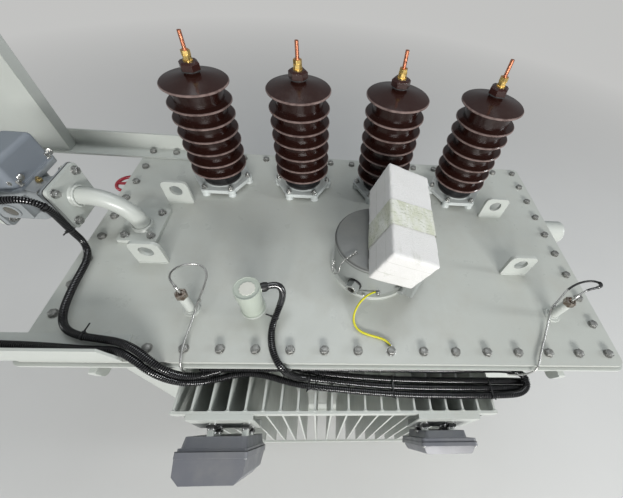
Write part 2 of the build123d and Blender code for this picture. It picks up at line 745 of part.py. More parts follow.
with BuildPart() as relay_body:
    for face_x in (RELAY_FACE_X, relay_end_x + RELAY_FLANGE_THICK):
        relay_flange(face_x, -RELAY_FLANGE_THICK)
    with BuildSketch(Plane.YZ.offset(RELAY_FACE_X)):
        with Locations((RELAY_Y, relay_z)):
            Circle(RELAY_BARREL_RADIUS)
    extrude(amount=-RELAY_LENGTH)
    with BuildSketch(above(RELAY_CHAMBER_BASE)):
        with Locations((RELAY_WINDOW_X, RELAY_Y)):
            RectangleRounded(*RELAY_CHAMBER, RELAY_CHAMBER_CORNER)
    extrude(amount=RELAY_DECK_BASE - RELAY_CHAMBER_BASE)
    with BuildSketch(above(RELAY_DECK_BASE)):
        with Locations((RELAY_DECK_X, RELAY_DECK_Y)):
            RectangleRounded(*RELAY_DECK, RELAY_DECK_CORNER)
    extrude(amount=RELAY_DECK_THICK)
    with BuildSketch(Plane.XZ.offset(-RELAY_WINDOW_Y)):
        with Locations((RELAY_WINDOW_X, COVER_TOP + RELAY_WINDOW_HEIGHT)):
            RectangleRounded(*RELAY_WINDOW, RELAY_WINDOW_CORNER)
    extrude(amount=RELAY_WINDOW_Y - RELAY_Y)
    deck_top = COVER_TOP + RELAY_DECK_BASE + RELAY_DECK_THICK
    deck_right = RELAY_DECK_X + RELAY_DECK[0] / 2
    flange_back = RELAY_FACE_X - RELAY_FLANGE_THICK
    with BuildSketch(Plane.XZ.offset(-RELAY_WEB_FRONT)):
        with BuildLine():
            Polyline(
                (RELAY_DECK_X, relay_z),
                (RELAY_DECK_X, deck_top),
                (deck_right, deck_top),
                (flange_back, deck_top - RELAY_WEB_DROP),
                (flange_back, relay_z),
                close=True,
            )
        make_face()
    extrude(amount=RELAY_WEB_FRONT - RELAY_WEB_BACK)
    with BuildSketch(Plane.XZ.offset(-RELAY_GLAND_Y)):
        with Locations((RELAY_GLAND_X, COVER_TOP + RELAY_GLAND_HEIGHT)):
            Circle(RELAY_GLAND_RADIUS)
    extrude(amount=RELAY_GLAND_Y - RELAY_DECK_Y)
    with BuildSketch(Plane.XY.offset(deck_top)):
        with Locations((RELAY_DECK_X, RELAY_DECK_Y)):
            Rectangle(2 * RELAY_DECK[0], 2 * RELAY_DECK[1])
    extrude(amount=RELAY_GLAND_RADIUS, mode=Mode.SUBTRACT)
write(relay_body, "relay_body")

with BuildPart() as relay_terminal_cover:
    with BuildSketch(Plane.XY.offset(deck_top)):
        with Locations((RELAY_DECK_X, RELAY_DECK_Y)):
            RectangleRounded(*RELAY_DECK, RELAY_DECK_CORNER)
    extrude(amount=RELAY_LID_THICK)
    with BuildSketch(Plane.XY.offset(deck_top + RELAY_LID_THICK)):
        with Locations((RELAY_DECK_X, RELAY_DECK_Y)):
            RectangleRounded(*RELAY_BOX, RELAY_BOX_CORNER)
    extrude(amount=RELAY_BOX_HEIGHT, taper=RELAY_BOX_TAPER)
    fillet(relay_terminal_cover.faces().sort_by(Axis.Z)[-1].edges(), RELAY_BOX_ROUNDING)
write(relay_terminal_cover, "relay_terminal_cover")

conservator_z = COVER_TOP + CONSERVATOR_HEIGHT
pipe_top = conservator_z - CONSERVATOR_RADIUS + PIPE_PROJECTION
with BuildPart() as conservator_pipe:
    pipe_start = Plane((relay_end_x - PIPE_FLANGE_THICK, RELAY_Y, relay_z), z_dir=(-1, 0, 0))
    with BuildLine() as pipe_line:
        FilletPolyline(
            pipe_start.origin,
            (CONSERVATOR_X, RELAY_Y, relay_z),
            (CONSERVATOR_X, RELAY_Y, pipe_top),
            radius=CONSERVATOR_PIPE_BEND,
        )
    with BuildSketch(pipe_start):
        Circle(PIPE_RADIUS)
    sweep(path=pipe_line.line)
    relay_flange(relay_end_x, -PIPE_FLANGE_THICK)
    weld_collar(pipe_start)
write(conservator_pipe, "conservator_pipe")

# Conservator
panel_face = COVER_WIDTH / 2 - PANEL_INSET
conservator_end = panel_face + CONSERVATOR_OVERHANG
with BuildPart() as conservator_shell:
    with BuildSketch(Plane.XZ.offset(conservator_end)):
        with Locations((CONSERVATOR_X, conservator_z)):
            Circle(CONSERVATOR_RADIUS)
            Circle(CONSERVATOR_RADIUS - CONSERVATOR_WALL, mode=Mode.SUBTRACT)
    extrude(amount=-2 * conservator_end)
    with BuildSketch(Plane.XY.offset(conservator_z - CONSERVATOR_RADIUS - 1)):
        with Locations((CONSERVATOR_X, RELAY_Y)):
            Circle(PIPE_RADIUS + PIPE_HOLE_CLEARANCE)
    extrude(amount=3 * CONSERVATOR_WALL, mode=Mode.SUBTRACT)
write(conservator_shell, "conservator_shell")

with BuildPart() as conservator_ends:
    for side in (-1, 1):
        with BuildSketch(Plane.XZ.offset(side * conservator_end)):
            with Locations((CONSERVATOR_X, conservator_z)):
                Circle(CONSERVATOR_RADIUS + CONSERVATOR_LIP)
        extrude(amount=side * CONSERVATOR_END)
write(conservator_ends, "conservator_ends")

level_face = conservator_end + CONSERVATOR_END
with BuildPart() as level_gauge:
    with BuildSketch(Plane.XZ.offset(level_face)):
        with Locations((CONSERVATOR_X, conservator_z)):
            Circle(LEVEL_RADIUS)
    extrude(amount=LEVEL_DEPTH)
    with BuildSketch(Plane.XZ.offset(level_face + LEVEL_DEPTH)):
        with Locations((CONSERVATOR_X, conservator_z)):
            Circle(LEVEL_DIAL_RADIUS)
    extrude(amount=-LEVEL_DIAL_RECESS, mode=Mode.SUBTRACT)
    with BuildSketch(above(LEVEL_GLAND_HEIGHT)):
        with Locations((CONSERVATOR_X, -level_face - LEVEL_DEPTH / 2)):
            Circle(LEVEL_GLAND_RADIUS)
    extrude(amount=CONSERVATOR_HEIGHT - LEVEL_GLAND_HEIGHT - LEVEL_DIAL_RADIUS)
write(level_gauge, "level_gauge")

with BuildPart() as support_angles:
    for side in (-1, 1):
        outer = side * COVER_WIDTH / 2
        with BuildSketch(Plane.YZ.offset(ANGLE_LEFT_X)) as angle_section:
            with BuildLine():
                Polyline(
                    (outer, COVER_TOP),
                    (outer, COVER_TOP + ANGLE_LEG),
                    (outer - side * ANGLE_THICK, COVER_TOP + ANGLE_LEG),
                    (outer - side * ANGLE_THICK, COVER_TOP + ANGLE_THICK),
                    (outer - side * ANGLE_LEG, COVER_TOP + ANGLE_THICK),
                    (outer - side * ANGLE_LEG, COVER_TOP),
                    close=True,
                )
            make_face()
            root = (outer - side * ANGLE_THICK, COVER_TOP + ANGLE_THICK)
            fillet(angle_section.vertices().sort_by_distance(root)[0], ANGLE_ROOT)
        extrude(amount=ANGLE_RIGHT_X - ANGLE_LEFT_X)
    with BuildSketch(Plane.XZ.offset(COVER_WIDTH)):
        with BuildLine():
            Polyline(
                (ANGLE_RIGHT_X - ANGLE_CHAMFER, COVER_TOP + ANGLE_LEG),
                (ANGLE_RIGHT_X, COVER_TOP + ANGLE_LEG),
                (ANGLE_RIGHT_X, COVER_TOP + ANGLE_THICK),
                close=True,
            )
        make_face()
    extrude(amount=-2 * COVER_WIDTH, mode=Mode.SUBTRACT)
write(support_angles, "support_angles")

with BuildPart() as support_panels:
    panel_foot = COVER_TOP + ANGLE_THICK
    flange_x = (PANEL_WIDTH - PANEL_THICK) / 2
    for side in (-1, 1):
        with BuildSketch(Plane.XY.offset(panel_foot)):
            with Locations((CONSERVATOR_X, side * (panel_face + PANEL_THICK / 2))):
                Rectangle(PANEL_WIDTH, PANEL_THICK)
            with Locations((CONSERVATOR_X, side * (panel_face + PANEL_FLANGE / 2))):
                with GridLocations(2 * flange_x, 1, 2, 1):
                    Rectangle(PANEL_THICK, PANEL_FLANGE)
        extrude(amount=conservator_z - panel_foot)
    with BuildSketch(Plane.YZ.offset(CONSERVATOR_X - PANEL_WIDTH / 2)):
        with Locations((0, panel_foot)):
            with GridLocations(2 * (panel_face + PANEL_FLANGE), 1, 2, 1):
                Rectangle(2 * PANEL_COPE, 2 * PANEL_COPE)
    extrude(amount=PANEL_WIDTH, mode=Mode.SUBTRACT)
    with BuildSketch(Plane.XZ.offset(COVER_WIDTH)):
        with Locations((CONSERVATOR_X, conservator_z)):
            Circle(CONSERVATOR_RADIUS + FIT_GAP)
    extrude(amount=-2 * COVER_WIDTH, mode=Mode.SUBTRACT)
    with BuildSketch(Plane.YZ.offset(CONSERVATOR_X + flange_x - PANEL_THICK)):
        with Locations((NOTCH_Y, panel_foot + NOTCH_HEIGHT / 2)):
            Rectangle(NOTCH_WIDTH, NOTCH_HEIGHT)
    extrude(amount=2 * PANEL_THICK, mode=Mode.SUBTRACT)
write(support_panels, "support_panels")

# Thermometer pockets and sensor head
with BuildPart() as thermometer_pockets:
    for height, radius in ((POCKET_BASE_THICK, POCKET_BASE_RADIUS), (POCKET_HEIGHT, POCKET_RADIUS)):
        with BuildSketch(above(0)):
            with Locations(*POCKETS):
                Circle(radius)
        extrude(amount=height)
    with BuildSketch(above(POCKET_HEIGHT)):
        with Locations(*POCKETS):
            RegularPolygon(POCKET_NUT_FLATS / 2, 6, major_radius=False)
    extrude(amount=POCKET_NUT_HEIGHT)
    chamfer(thermometer_pockets.edges().group_by(Axis.Z)[-1], POCKET_NUT_CHAMFER)
    with BuildSketch(above(POCKET_HEIGHT + POCKET_NUT_HEIGHT)):
        with Locations(*POCKETS):
            Circle(POCKET_DISH_RADIUS)
            Circle(POCKET_BUSH_RADIUS, mode=Mode.SUBTRACT)
    extrude(amount=-POCKET_DISH_DEPTH, mode=Mode.SUBTRACT)
write(thermometer_pockets, "thermometer_pockets")

gland_turn = math.radians(SENSOR_GLAND_ANGLE)
sensor_gland = (math.cos(gland_turn), math.sin(gland_turn), 0)
with BuildPart() as sensor_head:
    with BuildSketch(Plane((SENSOR_X, SENSOR_Y, COVER_TOP), x_dir=(1, 0, 0), z_dir=(0, -1, 0))):
        with BuildLine():
            Polyline(
                (0, 0),
                (SENSOR_BASE_RADIUS, 0),
                (SENSOR_BASE_RADIUS, SENSOR_BASE_THICK),
                (SENSOR_WAIST_RADIUS, SENSOR_BASE_THICK),
                (SENSOR_BASE_RADIUS - 1, SENSOR_CAP_BASE),
                (SENSOR_CAP_RADIUS, SENSOR_CAP_BASE),
                (SENSOR_CAP_RADIUS, SENSOR_HEIGHT),
                (SENSOR_CAP_RADIUS - SENSOR_LIP, SENSOR_HEIGHT),
                (SENSOR_CAP_RADIUS - SENSOR_LIP, SENSOR_HEIGHT - SENSOR_LIP_HEIGHT),
                (0, SENSOR_HEIGHT - SENSOR_LIP_HEIGHT),
                close=True,
            )
        make_face()
    revolve(axis=Axis((SENSOR_X, SENSOR_Y, 0), (0, 0, 1)))
    with BuildSketch(Plane((SENSOR_X, SENSOR_Y, COVER_TOP + SENSOR_GLAND_HEIGHT), z_dir=sensor_gland)):
        Circle(SENSOR_GLAND_RADIUS)
    extrude(amount=SENSOR_GLAND_REACH)
write(sensor_head, "sensor_head")


def gauge(name, size):
    """Gauge box that leans out on four round mounts, with its bracket on the fins' upper bar."""
    bracket_face = -fin_bar_face - BRACKET_DEPTH
    bracket_foot = fin_top - BRACKET_HEIGHT
    lean = math.radians(GAUGE_LEAN)
    back = Plane(
        (size["centre"], bracket_face - size["standoff"], COVER_TOP - GAUGE_DROP),
        x_dir=(1, 0, 0),
        z_dir=(0, -math.cos(lean), -math.sin(lean)),
    )
    with BuildPart() as bracket:
        with BuildSketch(Plane.YZ.offset(size["bracket_centre"] - BRACKET_WIDTH / 2)):
            with BuildLine():
                Polyline(
                    (-fin_bar_face, fin_top),
                    (bracket_face, fin_top),
                    (bracket_face, bracket_foot),
                    (-fin_tip, bracket_foot),
                    (-fin_tip, bracket_foot + BRACKET_THICK),
                    (bracket_face + BRACKET_THICK, bracket_foot + BRACKET_THICK),
                    (bracket_face + BRACKET_THICK, fin_top - BRACKET_THICK),
                    (-fin_bar_face, fin_top - BRACKET_THICK),
                    close=True,
                )
            make_face()
        extrude(amount=BRACKET_WIDTH)
        with BuildSketch(Plane.XZ.offset(-bracket_face)):
            with Locations((size["mount_centre"], COVER_TOP - GAUGE_DROP - MOUNT_DROP)):
                with GridLocations(size["mount_spacing"], MOUNT_ROWS, 2, 2):
                    Circle(MOUNT_RADIUS)
        extrude(amount=2 * size["standoff"])
        split(bisect_by=back, keep=Keep.BOTTOM)
    write(bracket, f"{name}_bracket")

    case_width, case_height, case_depth = size["case"]
    rim_width, rim_height, rim_depth = size["rim"]
    lip_width, lip_height, lip_depth = size["lip"]
    body_width, body_height, body_depth = size["body"]
    middle = (0, -lip_height / 2)
    with BuildPart() as case:
        with BuildSketch(back):
            with Locations(middle):
                RectangleRounded(case_width, case_height, GAUGE_CORNER)
        extrude(amount=case_depth, taper=GAUGE_CASE_TAPER)
        with BuildSketch(back.offset(case_depth)):
            with Locations(middle):
                RectangleRounded(rim_width, rim_height, GAUGE_CORNER)
        extrude(amount=rim_depth)
    write(case, f"{name}_case")

    lip_start = case_depth + rim_depth
    body_start = lip_start + lip_depth
    with BuildPart() as cover:
        with BuildSketch(back.offset(lip_start)):
            with Locations(middle):
                RectangleRounded(lip_width, lip_height, GAUGE_CORNER)
        extrude(amount=lip_depth)
        with BuildSketch(back.offset(body_start)):
            with Locations(middle):
                Rectangle(body_width, body_height)
        extrude(amount=body_depth, taper=size["body_taper"])
        front = cover.faces().sort_by(Axis(back.origin, back.z_dir))[-1]
        sides = front.edges().sort_by(Axis.X)
        chamfer((sides[0], sides[-1]), size["front_chamfer"])
        foot = middle[1] - body_height / 2
        with BuildSketch(Plane(back.origin, x_dir=back.z_dir, z_dir=(-1, 0, 0))):
            with BuildLine():
                Polyline(
                    (body_start, foot),
                    (body_start + body_depth, foot + size["bottom_slope"]),
                    (body_start + body_depth, foot),
                    close=True,
                )
            make_face()
        extrude(amount=body_width, both=True, mode=Mode.SUBTRACT)
    write(cover, f"{name}_cover")


gauge("left_gauge", LEFT_GAUGE)
gauge("right_gauge", RIGHT_GAUGE)

# Hooks on the long walls
with BuildPart() as tank_hooks:
    for side in (-1, 1):
        wall_y = side * WALL_WIDTH / 2
        for x in HOOK_X:
            with BuildSketch(Plane.YZ.offset(x - HOOK_THICK / 2)):
                with BuildLine():
                    FilletPolyline(
                        (wall_y, rim_bottom),
                        (wall_y + side * HOOK_REACH, rim_bottom),
                        (wall_y + side * HOOK_FOOT_REACH, rim_bottom - HOOK_HEIGHT),
                        (wall_y, rim_bottom - HOOK_HEIGHT),
                        radius=(HOOK_TOP_ROUNDING, HOOK_FOOT_ROUNDING),
                    )
                    Line((wall_y, rim_bottom - HOOK_HEIGHT), (wall_y, rim_bottom))
                make_face()
            extrude(amount=HOOK_THICK)
write(tank_hooks, "tank_hooks")

with BuildPart() as side_stub:
    with BuildSketch(Plane.YZ.offset(WALL_LENGTH / 2)):
        with Locations((STUB_Y, COVER_TOP - STUB_DROP)):
            Circle(STUB_RADIUS)
    extrude(amount=STUB_END_X - WALL_LENGTH / 2)
    fillet(side_stub.faces().sort_by(Axis.X)[-1].edges(), STUB_ROUNDING)
write(side_stub, "side_stub")

# Valve on the left wall, with a wheel on an upright spindle
wheel_z = COVER_TOP - WHEEL_DROP
bonnet_top = wheel_z - WHEEL_CLEARANCE
valve_z = COVER_TOP - VALVE_PIPE_DROP
valve_end_x = VALVE_X - VALVE_PIPE_BEYOND
with BuildPart() as valve_body:
    with BuildSketch(Plane.YZ.offset(valve_end_x)):
        with Locations((VALVE_Y, valve_z)):
            Circle(VALVE_PIPE_RADIUS)
    extrude(amount=-WALL_LENGTH / 2 - valve_end_x)
    for end in (-1, 1):
        with BuildSketch(Plane.YZ.offset(VALVE_X + end * (VALVE_BODY_RADIUS + VALVE_END_LENGTH))):
            with Locations((VALVE_Y, valve_z)):
                RegularPolygon(VALVE_END_FLATS / 2, 6, major_radius=False)
        extrude(amount=-end * (VALVE_BODY_RADIUS + VALVE_END_LENGTH))
    with BuildSketch(Plane.XY.offset(valve_z - VALVE_BODY_RADIUS)):
        with Locations((VALVE_X, VALVE_Y)):
            Circle(VALVE_BODY_RADIUS)
    extrude(amount=2 * VALVE_BODY_RADIUS)
    with BuildSketch(Plane.XY.offset(valve_z + VALVE_BODY_RADIUS)):
        with Locations((VALVE_X, VALVE_Y)):
            RegularPolygon(VALVE_BONNET_FLATS / 2, 6, major_radius=False)
    extrude(amount=VALVE_BONNET_THICK)
    with BuildSketch(Plane.XY.offset(valve_z)):
        with Locations((VALVE_X, VALVE_Y)):
            Circle(VALVE_BONNET_RADIUS)
    extrude(amount=bonnet_top - valve_z)
    with BuildSketch(Plane.XY.offset(bonnet_top)):
        with Locations((VALVE_X, VALVE_Y)):
            Circle(SPINDLE_RADIUS + SPINDLE_CLEARANCE)
    extrude(amount=-VALVE_BORE_DEPTH, mode=Mode.SUBTRACT)
write(valve_body, "valve_body")

with BuildPart() as valve_handwheel:
    rim_centre = WHEEL_RADIUS - WHEEL_RIM_RADIUS
    with BuildSketch(Plane((VALVE_X, VALVE_Y, wheel_z), x_dir=(1, 0, 0), z_dir=(0, -1, 0))):
        with Locations((rim_centre, 0)):
            Circle(WHEEL_RIM_RADIUS)
    revolve(axis=Axis((VALVE_X, VALVE_Y, 0), (0, 0, 1)))
    with BuildSketch(Plane.XY.offset(wheel_z - WHEEL_SPOKE_THICK / 2)):
        with Locations((VALVE_X, VALVE_Y)):
            Circle(WHEEL_HUB_RADIUS)
            Rectangle(2 * rim_centre, WHEEL_SPOKE_WIDTH)
            Rectangle(WHEEL_SPOKE_WIDTH, 2 * rim_centre)
    extrude(amount=WHEEL_SPOKE_THICK)
    with BuildSketch(Plane.XY.offset(bonnet_top - SPINDLE_DEPTH)):
        with Locations((VALVE_X, VALVE_Y)):
            Circle(SPINDLE_RADIUS)
    extrude(amount=wheel_z - bonnet_top + SPINDLE_DEPTH)
write(valve_handwheel, "valve_handwheel")

# Lead routes, with heights over the cover's top face
RELAY_CONDUIT = [
    (-1036, -100, 214), (-1036, -118, 214), (-1026, -136, 224), (-1004, -146, 234), (-972, -144, 242),
    (-938, -133, 244), (-908, -124, 240), (-885, -117, 226), (-873, -110, 202), (-870, -107, 172),
    (-871, -105, 140), (-869, -106, 110), (-864, -108, 80), (-856, -112, 52), (-848, -122, 30),
    (-842, -142, 17), (-839, -170, 13), (-838, -208, 12.5), (-837, -252, 13), (-830, -302, 14),
    (-820, -344, 18), (-802, -384, 23), (-770, -414, 27), (-722, -429, 31), (-664, -437, 32),
    (-610, -445, 34), (-562, -464, 31), (-522, -492, 18), (-488, -513, -10), (-457, -517, -54),
    (-416, -508, -85), (-368, -486, -88), (-312, -465, -88), (-256, -459, -88), (-190, -467, -88),
    (-120, -478, -88), (-30, -489, -88), (80, -498, -88), (200, -505, -88), (340, -508, -88),
    (470, -506, -88), (575, -508, -88),
]
LEVEL_CONDUIT = [
    (-1400, -506, 432), (-1400, -506, 408), (-1399, -511, 376), (-1394, -509, 334), (-1384, -499, 282),
    (-1366, -483, 214), (-1342, -469, 142), (-1312, -461, 82), (-1276, -456, 42), (-1230, -453, 23),
    (-1176, -452, 20), (-1100, -450, 20), (-1000, -449, 20), (-880, -451, 20), (-780, -456, 20),
    (-700, -462, 20), (-650, -463, 23), (-608, -466, 24), (-564, -495, 20), (-528, -522, -10),
    (-494, -540, -50), (-452, -545, -82), (-404, -531, -88), (-356, -511, -88), (-310, -494, -88),
    (-256, -491, -88), (-196, -505, -88), (-136, -522, -88), (-70, -534, -88), (20, -543, -88),
    (120, -549, -88), (250, -556, -88), (390, -558, -88), (470, -560, -88), (530, -562, -86),
    (576, -556, -82), (604, -538, -76), (612, -516, -70), (602, -496, -66), (578, -485, -64),
    (530, -481, -64), (450, -482, -64), (330, -485, -64), (200, -483, -64), (60, -484, -64),
    (-80, -482, -64), (-210, -484, -64), (-320, -483, -64), (-416, -485, -64),
]
SENSOR_CONDUIT = [
    (-232.32, -297.08, 100), (-208.05, -287.76, 100), (-186, -290, 90), (-180, -308, 70),
    (-192, -340, 46), (-208, -384, 28), (-206, -432, 22), (-192, -474, 20), (-170, -504, 6),
    (-146, -512, -34), (-114, -508, -72), (-66, -508, -88), (10, -515, -88), (100, -525, -88),
    (220, -531, -88), (350, -533, -88), (470, -534, -88), (570, -532, -88),
]
LEFT_CAPILLARY = [
    (-464, -326, 102), (-464, -326, 118), (-474, -317, 130), (-494, -296, 128), (-506, -264, 114),
    (-498, -232, 98), (-472, -212, 86), (-440, -212, 78), (-422, -234, 68), (-424, -268, 56),
    (-434, -304, 42), (-442, -342, 24), (-447, -384, 8), (-449, -428, 6), (-448, -466, 6),
    (-446, -490, 7), (-445, -503, -6), (-446, -504, -32), (-450, -501, -58),
]
RIGHT_CAPILLARY = [
    (720, -318, 102), (720, -318, 118), (732, -310, 132), (762, -296, 136), (804, -284, 128),
    (838, -268, 118), (846, -248, 108), (824, -238, 99), (790, -242, 88), (756, -258, 72),
    (731, -283, 50), (704, -307, 28), (688, -348, 10), (664, -388, 6), (638, -426, 6), (612, -466, 7),
    (597, -492, 7), (586, -504, -10), (573, -505, -34), (555, -501, -54), (534, -496, -66),
]
EARTH_WIRE = [
    (109.3, -268, 37), (96, -272, 38), (76, -286, 38), (56, -307, 36), (40, -334, 27), (36, -360, 14),
    (48, -384, 6), (74, -398, 4), (108, -407, 4), (138, -417, 4.5), (150, -434, 4.5),
]

lead(raised(RELAY_CONDUIT), CONDUIT_RADIUS, "relay_conduit")
lead(raised(LEVEL_CONDUIT), CONDUIT_RADIUS, "level_conduit")
lead(raised(SENSOR_CONDUIT), CONDUIT_RADIUS, "sensor_conduit")
lead(raised(LEFT_CAPILLARY), CAPILLARY_RADIUS, "left_capillary")
lead(raised(RIGHT_CAPILLARY), CAPILLARY_RADIUS, "right_capillary")
lead(raised(EARTH_WIRE), EARTH_RADIUS, "earth_wire")
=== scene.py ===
import bisect
import math
import random

import bmesh
import bpy
from mathutils import Euler, Matrix, Vector


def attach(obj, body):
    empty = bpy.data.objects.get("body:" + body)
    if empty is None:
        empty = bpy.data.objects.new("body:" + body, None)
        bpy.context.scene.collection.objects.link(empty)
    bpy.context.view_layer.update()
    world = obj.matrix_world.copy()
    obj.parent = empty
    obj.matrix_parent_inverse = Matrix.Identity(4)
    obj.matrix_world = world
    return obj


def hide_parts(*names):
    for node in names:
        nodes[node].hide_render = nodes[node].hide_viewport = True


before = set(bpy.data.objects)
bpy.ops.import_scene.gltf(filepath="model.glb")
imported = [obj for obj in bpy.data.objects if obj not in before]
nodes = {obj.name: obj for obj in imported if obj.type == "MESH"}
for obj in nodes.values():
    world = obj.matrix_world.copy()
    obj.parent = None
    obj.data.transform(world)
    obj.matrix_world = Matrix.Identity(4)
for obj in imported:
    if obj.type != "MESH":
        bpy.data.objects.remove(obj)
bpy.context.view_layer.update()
scene = bpy.context.scene
TANK = "transformer"
MILLI = 0.001
UP = (0, 0, 1)
DOWN = (0, 0, -1)
FORWARD = (0, -1, 0)
SIDEWAYS = (1, 0, 0)

# Places of the CAD model in millimetres, with heights over the cover's top face unless said
COVER_TOP = 1200
RIM_UNDERSIDE = -26
BOLT_PITCH = 100
BOLT_ROW_X = 850
BOLT_ROW_Y = 450
ANGLE_END = -602
ANGLE_THICK = 8
BUSHING_PITCH = 337
BUSHING_MIDDLE = 2
BUSHING_Y = 290
CLAMP_TOP = 31
CAP_BOTTOM = 435
CLAMP_BOLT_RADIUS = 103
RELIEF = (110, -127)
RELIEF_PAD_RADIUS = 141.5
RELIEF_BOSS_RADIUS = 144
RELAY_AXIS = (-2, 148)
RELAY_FACES = (-885, -1085)
RELAY_BOLT_REACH = 56.5
RELAY_GLAND = (-1036, -100, 214)
SIGHT_WINDOW = (-994, -98, 167)
CONSERVATOR = (-1400, 520)
LEVEL_GLAND = (-1400, -506, 432)
SENSOR = (-279, -315)
SENSOR_GLAND_TURN = 21
POCKETS = ((-464, -326), (720, -318))
LUG_REACH = (638, 148)
HOOK_X = 685
GAUGE_FACE_Y = -617
GAUGE_LEAN = math.radians(8)
FIN_COUNT = 20
FIN_PITCH = 50
FIN_MIDDLE = 3
FIN_ENDS = (-100, -880)
FIN_TIP_Y = 594
FOAM_CENTRE = (167, -134, 219)
FOAM_TURN = (5, 19, -3.3)

# Camera, fitted to the grid of the cover's edge bolts
CAMERA_PLACE = (-0.0551, -0.7648, 2.0823)
CAMERA_TURN = (37.04, -4.749, -0.981)
CAMERA_LENS = 17.407
CAMERA_SHIFT = (-0.0606, 0.0120)


def make_camera():
    camera = bpy.data.objects.new("camera", bpy.data.cameras.new("camera"))
    scene.collection.objects.link(camera)
    camera.location = CAMERA_PLACE
    camera.rotation_euler = Euler([math.radians(angle) for angle in CAMERA_TURN])
    camera.data.sensor_width = 36
    camera.data.lens = CAMERA_LENS
    camera.data.shift_x, camera.data.shift_y = CAMERA_SHIFT
    camera.data.clip_start = 0.02
    camera.data.clip_end = 100
    scene.camera = camera


def at(x, y, height):
    """Point in metres, from millimetres and a height over the cover's top face."""
    return Vector((x, y, COVER_TOP + height)) * MILLI


def heading(degrees):
    """Level direction at an angle from +X."""
    return Vector((math.cos(math.radians(degrees)), math.sin(math.radians(degrees)), 0))


def out_from(centre, way, reach, height):
    """Point at a reach from an upright axis."""
    return at(centre[0] + reach * way.x, centre[1] + reach * way.y, height)


def frame_at(place, axis=UP, spin=0.0):
    """Frame whose Z runs along an axis from a place, turned about it by degrees."""
    turn = Vector(axis).to_track_quat("Z", "Y").to_matrix().to_4x4()
    return Matrix.Translation(place) @ turn @ Matrix.Rotation(math.radians(spin), 4, "Z")


def shifted(place, x, y, z):
    """Frame moved along its own axes."""
    return place @ Matrix.Translation(Vector((x, y, z)) * MILLI)


def circle(count, radius=1.0, start=0.0, centre=(0, 0)):
    """Flat points round a circle, the first at an angle in degrees."""
    turns = [math.radians(start) + 2 * math.pi * k / count for k in range(count)]
    return [(centre[0] + radius * math.cos(turn), centre[1] + radius * math.sin(turn)) for turn in turns]


def oblong(half_x, half_y):
    """Outline of a rectangle."""
    return (-half_x, -half_y), (half_x, -half_y), (half_x, half_y), (-half_x, half_y)


def rounded_oblong(half_x, half_y, corner):
    """Outline of a rectangle with five points round each corner."""
    outline = []
    for side_x, side_y, begin in ((1, 1, 0), (-1, 1, 90), (-1, -1, 180), (1, -1, 270)):
        for step in range(5):
            turn = math.radians(begin + 22.5 * step)
            x = side_x * (half_x - corner) + corner * math.cos(turn)
            y = side_y * (half_y - corner) + corner * math.sin(turn)
            outline.append((x, y))
    return outline


def placed(place, outline, height=0.0):
    """Flat points in millimetres, set into a frame."""
    return [place @ (Vector((x, y, height)) * MILLI) for x, y in outline]


def ring_points(centre, radius, axis, count):
    """Points round a circle."""
    return placed(frame_at(centre, axis), circle(count, radius))


def line_points(start, end, step):
    """Points along a straight seam."""
    count = max(2, int((end - start).length / (step * MILLI)))
    return [start.lerp(end, k / count) for k in range(count + 1)]


def hoop(point, across, other, radius, sides):
    """Points round a place, in the plane of two directions."""
    return [point + (across * x + other * y) * radius for x, y in circle(sides)]


make_camera()
scene.view_settings.view_transform = "Standard"


